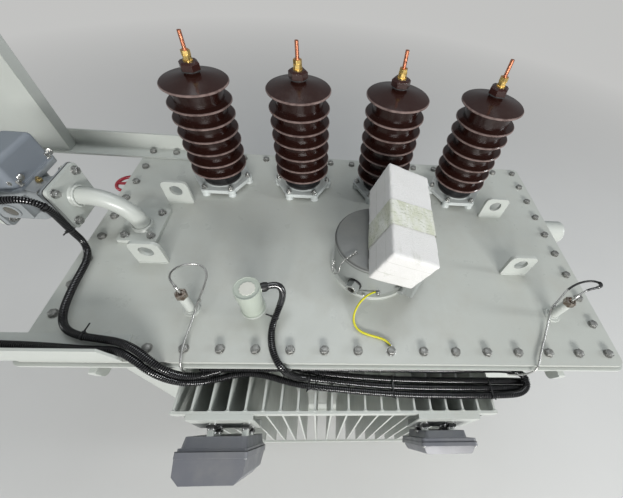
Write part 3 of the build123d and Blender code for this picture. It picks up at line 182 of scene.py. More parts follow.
class Shade:
    """Node material with object coordinates, built up from layers of colour, roughness and bump.

    A noise is given as its scale, detail and, where it isn't 0.55, its roughness.
    """

    def __init__(self, name, colour, roughness, metal=0.0):
        self.material = bpy.data.materials.new(name)
        self.material.use_nodes = True
        self.tree = self.material.node_tree
        self.shader = self.tree.nodes["Principled BSDF"]
        self.put(metal, "Metallic")
        self.put(roughness, "Roughness")
        self.put((*colour, 1), "Base Color")
        self.colour = colour
        self.place = self.node("ShaderNodeTexCoord", "Object")
        self.facing = None

    def plug(self, value, socket):
        """Links a socket, or sets a constant."""
        if isinstance(value, bpy.types.NodeSocket):
            self.tree.links.new(value, socket)
        else:
            socket.default_value = value

    def put(self, value, name):
        """Plugs a value into the shader's own socket."""
        self.plug(value, self.shader.inputs[name])

    def node(self, kind, output, inputs=(), **settings):
        """Adds a node with its settings and inputs, and gives one of its outputs."""
        made = self.tree.nodes.new(kind)
        for key, value in settings.items():
            setattr(made, key, value)
        for key, value in dict(inputs).items():
            self.plug(value, made.inputs[key])
        return made.outputs[output]

    def maths(self, operation, *values):
        return self.node("ShaderNodeMath", 0, enumerate(values), operation=operation)

    def times(self, one, other):
        return self.maths("MULTIPLY", one, other)

    def stretched(self, scale):
        return self.node("ShaderNodeMapping", 0, {"Vector": self.place, "Scale": scale})

    def noise(self, scale, detail=3.0, rough=0.55, place=None):
        inputs = {"Vector": place or self.place, "Scale": scale, "Detail": detail, "Roughness": rough}
        return self.node("ShaderNodeTexNoise", "Fac", inputs)

    def span(self, value, low, high, to_low=0.0, to_high=1.0):
        """Maps a value from one range to another, and stops at its ends."""
        inputs = {"Value": value, "From Min": low, "From Max": high, "To Min": to_low, "To Max": to_high}
        return self.node("ShaderNodeMapRange", "Result", inputs, clamp=True)

    def axis(self, name, source=None):
        """One coordinate of the place, or of another vector."""
        return self.node("ShaderNodeSeparateXYZ", name, {0: source or self.place})

    def normal(self):
        return self.node("ShaderNodeNewGeometry", "Normal")

    def between(self, value, low, high, soft=0.0005):
        """1 where the value lies between two limits, with soft ends."""
        rising = self.span(value, low - soft, low + soft)
        falling = self.span(value, high - soft, high + soft, 1.0, 0.0)
        return self.times(rising, falling)

    def mixed(self, amount, below, above):
        """One colour over another by an amount; each is a triple or a socket."""
        inputs = {"Factor": amount}
        for name, colour in (("A", below), ("B", above)):
            inputs[name] = colour if isinstance(colour, bpy.types.NodeSocket) else (*colour, 1)
        return self.node("ShaderNodeMix", "Result", inputs, data_type="RGBA")

    def paint(self, amount, colour):
        """Lays a colour over what is there by an amount."""
        self.colour = self.mixed(amount, self.colour, colour)
        self.put(self.colour, "Base Color")

    def cloud(self, noise, low, high, amount, colour):
        """Lays a colour over in the clouds of a noise."""
        self.paint(self.span(self.noise(*noise), low, high, 0, amount), colour)

    def rough(self, noise, least, most):
        """Roughness that wanders between two values with a noise."""
        self.put(self.span(self.noise(*noise), 0.3, 0.7, least, most), "Roughness")

    def face(self, normal):
        self.facing = normal
        self.put(normal, "Normal")

    def bump(self, height, distance, strength=1.0):
        inputs = {"Strength": strength, "Distance": distance, "Height": height}
        if self.facing is not None:
            inputs["Normal"] = self.facing
        self.face(self.node("ShaderNodeBump", "Normal", inputs))

    def grain(self, noise, distance, strength=1.0):
        """Fine relief from a noise."""
        self.bump(self.noise(*noise), distance, strength)

    def round_edges(self, radius):
        """Edges shaded as if rounded; returns how near an edge is, for wear and painted edge highlights."""
        self.face(self.node("ShaderNodeBevel", 0, {"Radius": radius}, samples=4))
        inputs = {0: self.facing, 1: self.normal()}
        dot = self.node("ShaderNodeVectorMath", "Value", inputs, operation="DOT_PRODUCT")
        return self.span(dot, 0.995, 0.80)

    def coat(self, weight, roughness):
        """Clear glossy layer."""
        self.put(weight, "Coat Weight")
        self.put(roughness, "Coat Roughness")


def scaled(colour, share, most=1.0):
    return tuple(min(most, part * share) for part in colour)


def painted(name, colour, roughness=0.4, dirt=0.25, edge=0.0015, wear=0.35, peel=0.00012):
    """Gloss paint over steel: orange peel, cloudy shade, specks, dust on top and paler edges, partly worn and
    partly a painted highlight.
    """
    shade = Shade(name, colour, roughness)
    near_edge = shade.round_edges(edge)
    shade.cloud((2.6, 4), 0.35, 0.75, 0.22, scaled(colour, 0.86))
    upward = shade.span(shade.axis("Z", shade.normal()), 0.2, 0.9)
    dust = shade.times(upward, shade.span(shade.noise(9, 6, 0.65), 0.45, 0.8, 0, dirt))
    shade.paint(dust, (0.42, 0.40, 0.33))
    shade.cloud((160, 2, 0.5), 0.70, 0.78, dirt, (0.20, 0.18, 0.15))
    rubs = shade.noise(14, 5, 0.6, shade.stretched((1, 0.12, 1)))
    shade.paint(shade.span(rubs, 0.62, 0.75, 0, 0.10), scaled(colour, 1.25))
    # Paler broken edges: partly worn paint, partly a painted highlight on the edges
    broken = shade.times(near_edge, shade.span(shade.noise(70, 3), 0.35, 0.6, 0.3, 1))
    shade.paint(shade.times(broken, wear), scaled(colour, 1.45, 0.9))
    shade.rough((18, 5), roughness - 0.07, roughness + 0.10)
    shade.grain((420, 2, 0.5), peel, 0.5)
    shade.grain((7, 2, 0.4), 0.0009, 0.35)
    shade.coat(0.15, 0.22)
    return shade


def layered(name, colour, roughness, metal=0.0, edge=None, clouds=(), rough=None, grain=None):
    """Clouds of colour, edges painted paler as wear and as a painted highlight, wandering roughness and a
    fine grain, as far as they are given.

    An edge is its radius, how much it shows and its colour, which is paler for wear and a painted highlight.
    """
    shade = Shade(name, colour, roughness, metal)
    near_edge = shade.round_edges(edge[0]) if edge else None
    for cloud in clouds:
        shade.cloud(*cloud)
    if edge:
        # Paler edges: partly rubbed wear, partly a painted highlight
        shade.paint(shade.times(near_edge, edge[1]), edge[2])
    if rough:
        shade.rough(*rough)
    if grain:
        shade.grain(*grain)
    return shade


def plated(name, colour, roughness, metal):
    """Zinc plated or bare metal with a faint brushed cloud and darker stains."""
    clouds = (
        ((60, 4), 0.35, 0.75, 0.5, scaled(colour, 0.62)),
        ((260, 3), 0.58, 0.75, 0.5, scaled(colour, 0.4)),
    )
    # Paler edge colour below: partly rubbed metal, partly a painted highlight
    return layered(
        name, colour, roughness, metal, (0.0006, 0.4, scaled(colour, 1.4, 0.95)), clouds,
        ((90, 4), roughness - 0.08, roughness + 0.14), ((700, 2), 0.00012, 0.6),
    )


def plastic(name, colour, bloom, roughness):
    """Moulded or drawn plastic with a cloudy bloom."""
    return layered(
        name, colour, roughness, clouds=[((60, 4), 0.45, 0.75, 0.5, bloom)],
        rough=((90, 4), roughness - 0.1, roughness + 0.12), grain=((300, 3), 0.00025, 0.6),
    )


def glazed(name, colour, roughness, cloud, gloss):
    """Cloudy face behind a clear layer of glass."""
    shade = layered(name, colour, roughness, clouds=[cloud])
    shade.coat(1.0, gloss)
    return shade


def make_cover_paint():
    """Cover paint, with dusty, slightly warmer clouds and faint pale streaks."""
    shade = painted("cover_paint", (0.50, 0.52, 0.485), 0.33, dirt=0.22)
    shade.cloud((4.5, 6, 0.7), 0.52, 0.72, 0.16, (0.40, 0.385, 0.35))
    streaks = shade.noise(3, 6, 0.7, shade.stretched((0.5, 3, 1)))
    shade.paint(shade.span(streaks, 0.58, 0.74, 0, 0.12), (0.60, 0.61, 0.60))
    return shade


# Heights over the ground and reaches from a bushing's axis, in metres, of the glaze's painted rim highlight,
# black waist and dull cores
RIM_HIGHLIGHT_REACH = (0.1028, 0.1048)
HAT_HEIGHT = (1.597, 1.598)
HAT_OVERHANG = 0.0028
CORE_REACH = (0.066, 0.092)
HAT_TOP = (1.596, 1.604)
WAIST = (1.2165, 1.2775)


def make_porcelain():
    """Brown glaze, dull on the cores, with painted top light on up-facing faces and painted rim highlights;
    the waist under the sheds is black.
    """
    shade = Shade("porcelain_glaze", (0.016, 0.0044, 0.0031), 0.10)
    shade.cloud((9, 4), 0.35, 0.7, 0.6, (0.011, 0.003, 0.002))
    shade.cloud((55, 4, 0.6), 0.62, 0.75, 0.25, (0.038, 0.013, 0.009))
    upright = shade.axis("Z", shade.normal())
    # Painted light: up-facing faces are painted paler, as if lit from above
    shade.paint(shade.span(upright, 0.55, 0.95, 0, 0.6), (0.034, 0.013, 0.010))
    grime = shade.span(shade.noise(30, 6, 0.7), 0.52, 0.8, 0, 0.14)
    shade.paint(shade.times(shade.span(upright, 0.3, 0.95), grime), (0.12, 0.09, 0.075))
    pitch = BUSHING_PITCH * MILLI
    first = (BUSHING_MIDDLE * MILLI + 2.5 * pitch) % pitch
    across = shade.maths("MODULO", shade.maths("ADD", shade.axis("X"), 4 * pitch), pitch)
    off_x = shade.maths("SUBTRACT", across, first)
    off_y = shade.maths("SUBTRACT", shade.axis("Y"), BUSHING_Y * MILLI)
    spread = shade.maths("SQRT", shade.maths("ADD", shade.times(off_x, off_x), shade.times(off_y, off_y)))
    overhang = shade.span(shade.axis("Z"), *HAT_HEIGHT, 0, HAT_OVERHANG)
    # Painted highlight: a paler line along the rims of the sheds and the hat
    rim = shade.span(shade.maths("SUBTRACT", spread, overhang), *RIM_HIGHLIGHT_REACH)
    uneven = shade.span(shade.noise(45, 3), 0.30, 0.60, 0.35, 0.80)
    shade.paint(shade.times(rim, uneven), (0.27, 0.20, 0.185))
    shade.paint(shade.between(shade.axis("Z"), *WAIST, 0.0008), (0.008, 0.008, 0.009))
    under_hat = shade.span(shade.axis("Z"), *HAT_TOP, 1.0, 0.0)
    core = shade.times(shade.span(spread, *CORE_REACH, 1.0, 0.0), under_hat)
    shade.put(shade.span(shade.maths("ADD", shade.noise(25, 4), core), 0.3, 1.6, 0.10, 0.44), "Roughness")
    shade.grain((30, 2), 0.0004, 0.12)
    shade.grain((240, 2), 0.00003, 0.3)
    return shade


def make_terminal_metal():
    """Brass washers and nuts below, bare copper stud with fine rings above; the edges painted bright yellow
    as a highlight.
    """
    # Bright yellow edge colour: painted highlight on the nut and washer edges
    shade = layered(
        "copper_and_brass", (0.86, 0.62, 0.22), 0.24, 1.0, (0.0005, 0.4, (1.0, 0.86, 0.48)),
        [((110, 4), 0.4, 0.75, 0.6, (0.50, 0.31, 0.09))],
    )
    stud = shade.span(shade.axis("Z"), 1.6925, 1.6935)
    copper = shade.mixed(shade.span(shade.noise(90, 4), 0.35, 0.7), (0.66, 0.26, 0.15), (0.50, 0.19, 0.11))
    shade.paint(stud, copper)
    shade.rough((120, 3), 0.28, 0.44)
    inputs = {"Vector": shade.place, "Scale": 180, "Distortion": 0.3}
    turns = shade.node("ShaderNodeTexWave", "Fac", inputs, wave_type="BANDS", bands_direction="Z")
    shade.bump(shade.times(turns, stud), 0.0003, 0.6)
    return shade


def make_foam():
    """Expanded foam: closed beads of 4 mm, two darker lines, dents and grey handling marks."""
    shade = Shade("foam_beads", (0.75, 0.745, 0.735), 0.75)
    shade.cloud((6, 5, 0.65), 0.45, 0.75, 0.35, (0.62, 0.62, 0.58))
    inputs = {"Vector": shade.place, "Scale": 230}
    edges = shade.node("ShaderNodeTexVoronoi", "Distance", inputs, feature="DISTANCE_TO_EDGE")
    shade.paint(shade.span(edges, 0.0, 0.10, 0.22, 0), (0.52, 0.52, 0.49))
    marks = shade.noise(22, 6, 0.7, shade.stretched((1, 0.25, 1)))
    shade.paint(shade.span(marks, 0.60, 0.72, 0, 0.5), (0.44, 0.45, 0.38))
    turn = [math.radians(angle) for angle in FOAM_TURN]
    inputs = {"Vector": shade.place, "Location": at(*FOAM_CENTRE), "Rotation": turn}
    depth = shade.axis("Z", shade.node("ShaderNodeMapping", 0, inputs, vector_type="TEXTURE"))
    broken = shade.span(shade.noise(11, 4, 0.7), 0.40, 0.55)
    for middle, width in ((-0.016, 0.0012), (0.038, 0.0008)):
        dark_line = shade.between(depth, middle - width, middle + width, 0.0006)
        shade.paint(shade.times(shade.times(dark_line, broken), 0.5), (0.36, 0.37, 0.30))
    shade.bump(shade.span(edges, 0.0, 0.25), 0.0008, 0.7)
    shade.grain((14, 4), 0.0030, 0.35)
    shade.put(0.12, "Subsurface Weight")
    shade.put((0.01, 0.01, 0.009), "Subsurface Radius")
    return shade


def make_tape():
    """Clear packing tape, wrinkled, a little yellow, with painted shade in the wrinkles and painted glints.
    """
    shade = Shade("clear_tape", (0.64, 0.66, 0.53), 0.20)
    creases = shade.noise(40, 6, 0.7, shade.stretched((1.0, 0.35, 1.0)))
    shade.paint(shade.span(creases, 0.40, 0.60), (0.76, 0.77, 0.71))
    # Painted shade: dark greenish lines in the wrinkles
    thin = shade.noise(120, 5, 0.7, shade.stretched((0.4, 1.4, 1.0)))
    shade.paint(shade.span(thin, 0.55, 0.63, 0, 0.7), (0.36, 0.39, 0.26))
    # Painted glints: pale spots of reflected light on the tape
    shade.cloud((55, 4, 0.6), 0.64, 0.72, 0.8, (0.93, 0.94, 0.92))
    shade.bump(creases, 0.0035, 0.9)
    shade.grain((150, 4), 0.0012, 0.7)
    shade.coat(0.8, 0.12)
    return shade


def make_conduit():
    """Black ribbed plastic with a grey bloom of dust, paler on up-facing faces: partly dust, partly painted
    light on the crests.
    """
    shade = Shade("conduit_plastic", (0.018, 0.018, 0.0195), 0.20)
    shade.cloud((35, 5, 0.65), 0.5, 0.8, 0.5, (0.036, 0.036, 0.037))
    # Paler up-facing faces: partly dust, partly painted light on the crests
    upward = shade.span(shade.axis("Z", shade.normal()), 0.3, 0.95)
    dust = shade.times(upward, shade.span(shade.noise(120, 4), 0.45, 0.8, 0, 0.28))
    shade.paint(dust, (0.12, 0.12, 0.117))
    shade.rough((60, 4), 0.14, 0.22)
    shade.grain((500, 2), 0.00002, 0.3)
    shade.put(0.95, "Specular IOR Level")
    return shade


def make_valley_shade():
    """Painted shade in the valleys between a conduit's ribs: dull black."""
    cloud = ((50, 5, 0.65), 0.6, 0.85, 0.3, (0.012, 0.012, 0.012))
    shade = layered("conduit_valley_shade", (0.002, 0.002, 0.0025), 0.7, clouds=[cloud])
    shade.put(0.15, "Specular IOR Level")
    return shade


def make_braid():
    """Woven steel sheath: a fine check of strands, turned across the lead."""
    shade = Shade("woven_steel", (0.52, 0.515, 0.50), 0.28, 1.0)
    turned = shade.node("ShaderNodeMapping", 0, {"Vector": shade.place, "Rotation": (0.6, 0.6, 0.8)})
    weave = shade.node("ShaderNodeTexChecker", "Fac", {"Vector": turned, "Scale": 620})
    shade.paint(shade.times(weave, 0.20), (0.40, 0.40, 0.38))
    shade.cloud((80, 4), 0.55, 0.8, 0.4, (0.36, 0.35, 0.33))
    shade.bump(weave, 0.0001, 0.5)
    shade.rough((140, 3), 0.26, 0.46)
    return shade


def make_gauge_paint(name, colour, wear=0.35):
    """Grey enamel on a cast or moulded housing."""
    shade = painted(name, colour, 0.40, dirt=0.18, edge=0.0022, wear=wear, peel=0.0002)
    shade.grain((150, 3, 0.6), 0.0003, 0.5)
    return shade


def make_relay_cover_paint():
    """Bluish grey enamel, its rounded ridges painted paler: partly rubbed wear, partly a painted highlight.
    """
    shade = make_gauge_paint("relay_cover_enamel", (0.205, 0.230, 0.262), 0.6)
    ridge = shade.node("ShaderNodeNewGeometry", "Pointiness")
    # Paler ridges: partly rubbed wear, partly a painted highlight along the rounded edges
    ridge_rub_and_highlight = shade.times(shade.span(ridge, 0.51, 0.56), shade.span(shade.noise(24, 5), 0.4, 0.65))
    shade.paint(shade.times(ridge_rub_and_highlight, 0.6), (0.46, 0.49, 0.52))
    return shade


def make_relief_paint():
    """Grey dome, side wall painted paler as painted light, painted shade in two grooves and a painted
    highlight on the crest at the cap's rim.
    """
    shade = make_gauge_paint("relief_cap_enamel", (0.150, 0.156, 0.150), 0.5)
    # Painted light: the side wall below the dome is painted paler
    side = shade.span(shade.axis("Z"), 1.3300, 1.3310, 1, 0)
    shade.paint(shade.times(side, 0.8), (0.31, 0.33, 0.32))
    # Painted shade: two dark lines in the grooves at the rim
    for height in (1.3295, 1.3440):
        groove_shade = shade.between(shade.axis("Z"), height - 0.0011, height + 0.0011, 0.0004)
        shade.paint(shade.times(groove_shade, 0.75), (0.055, 0.056, 0.055))
    # Painted highlight: a pale line on the crest of the rim
    crest = shade.between(shade.axis("Z"), 1.3385, 1.3415, 0.0006)
    shade.paint(shade.times(crest, 0.45), (0.42, 0.43, 0.42))
    return shade


def make_pocket_metal():
    """Painted tube below, a plated hex nut with a brownish bloom above."""
    shade = painted("pocket_tube_and_nut", (0.52, 0.545, 0.515), 0.34, edge=0.0008)
    nut = shade.span(shade.axis("Z"), 1.2838, 1.2842)
    bloom = shade.span(shade.noise(75, 5, 0.65), 0.38, 0.62)
    shade.paint(nut, shade.mixed(bloom, (0.46, 0.42, 0.37), (0.17, 0.12, 0.09)))
    shade.put(shade.times(nut, 0.9), "Metallic")
    return shade


def make_clamp_paint():
    """Rough pale casting, its pits deeper than on the sheet steel."""
    shade = painted("clamp_casting", (0.54, 0.575, 0.565), 0.38, dirt=0.28, edge=0.0025, wear=0.45)
    shade.grain((90, 4, 0.65), 0.0014, 0.6)
    return shade


TANK_PAINT = painted("tank_paint", (0.50, 0.525, 0.495), 0.36).material
COVER_PAINT = make_cover_paint().material
PORCELAIN = make_porcelain().material
# Paler brown edges of the cap enamel: a painted highlight
ENAMEL = layered(
    "cap_enamel", (0.034, 0.013, 0.011), 0.16, 0.0, (0.0014, 0.45, (0.17, 0.10, 0.08)),
    [((70, 4), 0.4, 0.7, 0.5, (0.028, 0.011, 0.009))], ((60, 3), 0.12, 0.26), ((300, 2), 0.00015, 0.5),
).material
TERMINAL_METAL = make_terminal_metal().material
FOAM = make_foam().material
TAPE = make_tape().material
CONDUIT = make_conduit().material
CONDUIT_VALLEY_SHADE = make_valley_shade().material
BLACK_PLASTIC = plastic("black_plastic", (0.014, 0.014, 0.015), (0.035, 0.034, 0.033), 0.38).material
TIE_PLASTIC = plastic("tie_nylon", (0.014, 0.014, 0.015), (0.035, 0.034, 0.033), 0.30).material
BRAID = make_braid().material
RELAY_GREY = make_gauge_paint("relay_body_enamel", (0.27, 0.29, 0.30)).material
RELAY_COVER_GREY = make_relay_cover_paint().material
RELIEF_GREY = make_relief_paint().material
GAUGE_GREY = make_gauge_paint("gauge_enamel", (0.140, 0.145, 0.163), 0.5).material
# Paler edges of the sensor plastic: partly rubbed, partly a painted highlight
SENSOR_PLASTIC = layered(
    "sensor_plastic", (0.43, 0.475, 0.415), 0.36, 0.0, (0.0012, 0.4, (0.66, 0.70, 0.64)),
    [((12, 4), 0.4, 0.7, 0.3, (0.38, 0.42, 0.36))], ((40, 3), 0.28, 0.44), ((260, 2), 0.00012, 0.5),
).material
POCKET_METAL = make_pocket_metal().material
WHEEL_PAINT = painted("wheel_enamel", (0.36, 0.022, 0.040), 0.30, dirt=0.2, edge=0.001, wear=0.5).material
RUBBER = layered(
    "gasket_rubber", (0.022, 0.022, 0.023), 0.7,
    clouds=[((60, 4), 0.4, 0.7, 0.5, (0.05, 0.05, 0.048))], grain=((220, 3), 0.0004, 0.6),
).material
CLAMP_PAINT = make_clamp_paint().material
DIAL = glazed(
    "dial_face", (0.72, 0.72, 0.70), 0.3, ((20, 3), 0.4, 0.7, 0.2, (0.62, 0.62, 0.60)), 0.03
).material
WINDOW_GLASS = glazed(
    "sight_glass", (0.055, 0.050, 0.035), 0.06, ((30, 4), 0.4, 0.7, 0.5, (0.10, 0.095, 0.07)), 0.02
).material
BOLT_STEEL = plated("bolt_steel", (0.30, 0.30, 0.285), 0.42, 0.75).material
BRIGHT_ZINC = plated("bright_zinc", (0.62, 0.62, 0.60), 0.26, 0.95).material
GREY_ZINC = plated("grey_zinc", (0.43, 0.43, 0.42), 0.26, 0.9).material
DULL_BRASS = plated("dull_brass", (0.42, 0.33, 0.16), 0.34, 0.9).material
YELLOW = plastic("yellow_insulation", (0.66, 0.62, 0.035), (0.55, 0.50, 0.05), 0.30).material
GREEN = plastic("green_insulation", (0.08, 0.27, 0.045), (0.13, 0.33, 0.06), 0.30).material
DISC_PLASTIC = plastic("sensor_disc_plastic", (0.66, 0.66, 0.60), (0.60, 0.59, 0.53), 0.42).material


WASHER = 2.4
BEAD_SIDES = 8
JOIN_DISTANCE = 0.00002


class Pieces:
    """Collects several small solids into one mesh, their sizes in millimetres."""

    def __init__(self):
        self.mesh = bmesh.new()

    def skin(self, rings, material=0, caps=True, stripe=None):
        """Side faces between rings of points, and a cap on each end.

        A stripe gives a side face's material from its number round the ring and along the rings.
        """
        made = [[self.mesh.verts.new(point) for point in ring] for ring in rings]
        for step, (low, high) in enumerate(zip(made, made[1:])):
            count = len(low)
            for k in range(count):
                face = self.mesh.faces.new((low[k], low[(k + 1) % count], high[(k + 1) % count], high[k]))
                face.material_index = stripe(k, step) if stripe else material
        if caps:
            for ring in (made[0][::-1], made[-1]):
                self.mesh.faces.new(ring).material_index = material

    def lathe(self, place, outline, segments=20, material=0, caps=True):
        """Outline of radius and height, turned about a frame's Z."""
        rings = [placed(place, circle(segments, radius), height) for radius, height in outline]
        self.skin(rings, material, caps)

    def prism(self, place, outline, levels):
        """Outline of points, at each level scaled about the frame's Z."""
        rings = []
        for height, scale in levels:
            rings.append(placed(place, [(x * scale, y * scale) for x, y in outline], height))
        self.skin(rings)

    def nut(self, place, flats, height, base=0.0):
        """Hexagon with its top corners turned down."""
        top = base + height
        levels = ((base, 0.93), (base + 0.9, 1), (top - 1.1, 1), (top, 0.89))
        self.prism(place, circle(6, flats / math.sqrt(3)), levels)

    def bolt_head(self, place, flats, height, washer, stud=0.0):
        """Washer, hexagon and a turned face, or a stud's end where a nut is meant."""
        self.lathe(place, ((washer * 0.97, 0), (washer, 0.5), (washer, 1.9), (washer * 0.96, WASHER)), 24)
        self.nut(place, flats, height, WASHER)
        top = WASHER + height
        if stud > 0:
            core = flats * 0.31
            self.lathe(place, ((core, top - 0.5), (core, top + stud - 1), (core * 0.8, top + stud)), 14)
        else:
            face = flats * 0.40
            self.lathe(place, ((face, top - 0.3), (face, top + 0.5), (face * 0.9, top + 0.9)), 18)

    def bead(self, points, radius, seed, closed=True):
        """Weld bead along points: an uneven round rope of scales."""
        dice = random.Random(seed)
        total = len(points)
        rings = []
        for k, point in enumerate(points):
            ahead = points[(k + 1) % total] if closed or k < total - 1 else point
            behind = points[k - 1] if closed or k > 0 else point
            along = (ahead - behind).normalized()
            across = along.orthogonal().normalized()
            swell = radius * MILLI * (1 + 0.16 * math.sin(k * 2.3) + dice.uniform(-0.14, 0.14))
            rings.append(hoop(point, across, along.cross(across), swell, BEAD_SIDES))
        if closed:
            rings.append(rings[0])
        steady = []
        for ring in rings:
            if steady:
                last = steady[-1][0]
                start = min(range(BEAD_SIDES), key=lambda s: (ring[s] - last).length)
                ring = ring[start:] + ring[:start]
            steady.append(ring)
        self.skin(steady, caps=not closed)

    def finish(self, name, materials, sharp=35):
        """Joins meeting points, marks the edges sharper than an angle and adds the mesh to the part."""
        bmesh.ops.remove_doubles(self.mesh, verts=self.mesh.verts, dist=JOIN_DISTANCE)
        bmesh.ops.recalc_face_normals(self.mesh, faces=self.mesh.faces)
        for face in self.mesh.faces:
            face.smooth = True
        for edge in self.mesh.edges:
            if len(edge.link_faces) == 2 and edge.calc_face_angle(0) > math.radians(sharp):
                edge.smooth = False
        data = bpy.data.meshes.new(name)
        self.mesh.to_mesh(data)
        self.mesh.free()
        for material in materials:
            data.materials.append(material)
        made = bpy.data.objects.new(name, data)
        scene.collection.objects.link(made)
        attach(made, TANK)
        return made


# Leads: each route's points again, with heights over the cover's top face, in millimetres
RELAY_CONDUIT = [
    (-1036, -100, 214), (-1036, -118, 214), (-1026, -136, 224), (-1004, -146, 234), (-972, -144, 242),
    (-938, -133, 244), (-908, -124, 240), (-885, -117, 226), (-873, -110, 202), (-870, -107, 172),
    (-871, -105, 140), (-869, -106, 110), (-864, -108, 80), (-857, -111, 54), (-848, -124, 36),
    (-838, -146, 26), (-830, -174, 24), (-827, -210, 24), (-825, -254, 24), (-819, -302, 24),
    (-812, -342, 24), (-796, -382, 25), (-768, -412, 27), (-722, -429, 31), (-664, -437, 32),
    (-610, -445, 34), (-562, -464, 31), (-522, -490, 19), (-488, -509, -4), (-457, -513, -42),
    (-416, -505, -74), (-368, -486, -86), (-312, -465, -88), (-256, -459, -88), (-190, -467, -88),
    (-120, -482, -88), (-30, -493, -88), (80, -502, -88), (200, -508, -88), (340, -510.5, -88),
    (470, -510.5, -88), (560, -509, -91), (608, -509, -98),
]
LEVEL_CONDUIT = [
    (-1400, -506, 432), (-1400, -506, 408), (-1399, -511, 376), (-1394, -509, 334), (-1384, -499, 282),
    (-1366, -483, 214), (-1342, -469, 142), (-1312, -461, 82), (-1276, -456, 42), (-1230, -453, 23),
    (-1176, -452, 20), (-1100, -450, 20), (-1000, -449, 20), (-880, -451, 20), (-780, -456, 20),
    (-700, -462, 20), (-650, -463, 23), (-608, -466, 24), (-564, -488, 22), (-526, -512, 0),
    (-492, -523, -38), (-452, -524, -76), (-404, -515, -96), (-356, -505, -93), (-310, -494, -89),
    (-256, -491, -88), (-196, -505, -88), (-136, -522, -88), (-70, -531, -88), (20, -539, -88),
    (120, -547, -88), (250, -553, -88), (390, -554, -88), (460, -553.5, -88), (518, -552, -87),
    (562, -550, -83), (588, -537, -77), (596, -517, -71), (588, -498, -67), (566, -487, -64),
    (520, -481, -64), (450, -482, -64), (330, -485, -64), (200, -483, -64), (60, -484, -64),
    (-80, -482, -64), (-210, -484, -64), (-320, -483, -64), (-416, -485, -64),
]
SENSOR_CONDUIT = [
    (-232.32, -297.08, 100), (-208.05, -287.76, 100), (-186, -290, 90), (-180, -308, 70),
    (-192, -340, 46), (-208, -384, 28), (-206, -432, 22), (-192, -474, 20), (-170, -504, 6),
    (-146, -512, -34), (-114, -508, -72), (-66, -508, -88), (10, -516, -88), (100, -524.5, -88),
    (220, -530.5, -88), (350, -532, -88), (460, -532, -88), (560, -530.5, -91), (605, -530.5, -98),
]
LEFT_CAPILLARY = [
    (-464, -326, 102), (-464, -326, 118), (-474, -317, 130), (-494, -296, 128), (-506, -264, 114),
    (-498, -232, 98), (-472, -212, 86), (-440, -212, 78), (-422, -234, 68), (-424, -268, 56),
    (-434, -304, 42), (-442, -342, 26), (-447, -384, 15), (-449, -428, 15), (-448, -466, 14),
    (-446, -490, 8), (-445, -503, -6), (-446, -504, -32), (-450, -501, -58),
]
RIGHT_CAPILLARY = [
    (720, -318, 102), (720, -318, 118), (732, -310, 132), (762, -296, 136), (804, -284, 128),
    (838, -268, 118), (846, -248, 108), (824, -238, 99), (790, -242, 88), (756, -258, 72),
    (731, -283, 50), (704, -307, 28), (688, -348, 10), (664, -388, 6), (638, -426, 6),
    (612, -466, 7), (597, -492, 7), (586, -504, -10), (573, -505, -34), (555, -501, -54),
    (534, -496, -66),
]
EARTH_WIRE = [
    (109.3, -268, 37), (96, -272, 38), (76, -286, 38), (56, -307, 36), (40, -334, 27), (36, -360, 14),
    (48, -384, 6), (74, -398, 4), (108, -407, 4), (138, -417, 4.5), (150, -434, 4.5),
]
CONDUIT_RADIUS = 10.5
CAPILLARY_RADIUS = 2.9
EARTH_RADIUS = 3.5

RIB_PITCH = 0.0056
RIB_DEPTH = 0.0021
RIB_START = 1e-5
SHRINK_SLEEVE = 0.105
TIE_WIDE = 2.4
TIE_THICK = 1.5
BUNDLE_TOP = 1.128


class Line:
    """Places along a line of points by distance in metres, with frames that don't twist."""

    def __init__(self, points):
        self.points = points
        self.starts = [0.0]
        for before, after in zip(points, points[1:]):
            self.starts.append(self.starts[-1] + (after - before).length)
        self.length = self.starts[-1]
        normal = (points[1] - points[0]).orthogonal().normalized()
        self.normals = []
        for k in range(len(points)):
            along = self.along(k)
            normal = (normal - along * normal.dot(along)).normalized()
            self.normals.append(normal.copy())

    def along(self, k):
        ahead = self.points[min(k + 1, len(self.points) - 1)]
        behind = self.points[max(k - 1, 0)]
        return (ahead - behind).normalized()

    def place(self, distance):
        """Point, direction and normal at a distance from the start."""
        distance = min(max(distance, 0.0), self.length)
        low = min(bisect.bisect_right(self.starts, distance), len(self.starts) - 1) - 1
        high = low + 1
        step = self.starts[high] - self.starts[low]
        part = (distance - self.starts[low]) / step if step else 0.0
        point = self.points[low].lerp(self.points[high], part)
        along = self.along(low).lerp(self.along(high), part).normalized()
        normal = self.normals[low].lerp(self.normals[high], part)
        normal = (normal - along * normal.dot(along)).normalized()
        return point, along, normal

    def nearest(self, x, y, height):
        """Distance along the line of the point nearest a place over the cover."""
        target = at(x, y, height)
        best = min(range(len(self.points)), key=lambda k: (self.points[k] - target).length)
        return self.starts[best]

    def even(self, count, radius):
        """Stations of one radius at equal steps."""
        return [(self.length * k / count, radius) for k in range(count + 1)]


def route_line(route):
    """Line of a smooth curve that has the route's points as its control points."""
    curve = bpy.data.curves.new("route", "CURVE")
    curve.dimensions = "3D"
    curve.resolution_u = 8
    spline = curve.splines.new("NURBS")
    spline.points.add(len(route) - 1)
    for point, place in zip(spline.points, route):
        point.co = (*at(*place), 1)
    spline.order_u = 3
    spline.use_endpoint_u = True
    guide = bpy.data.objects.new("route", curve)
    scene.collection.objects.link(guide)
    mesh = bpy.data.meshes.new_from_object(guide)
    points = [vertex.co.copy() for vertex in mesh.vertices]
    bpy.data.meshes.remove(mesh)
    bpy.data.objects.remove(guide)
    return Line(points)


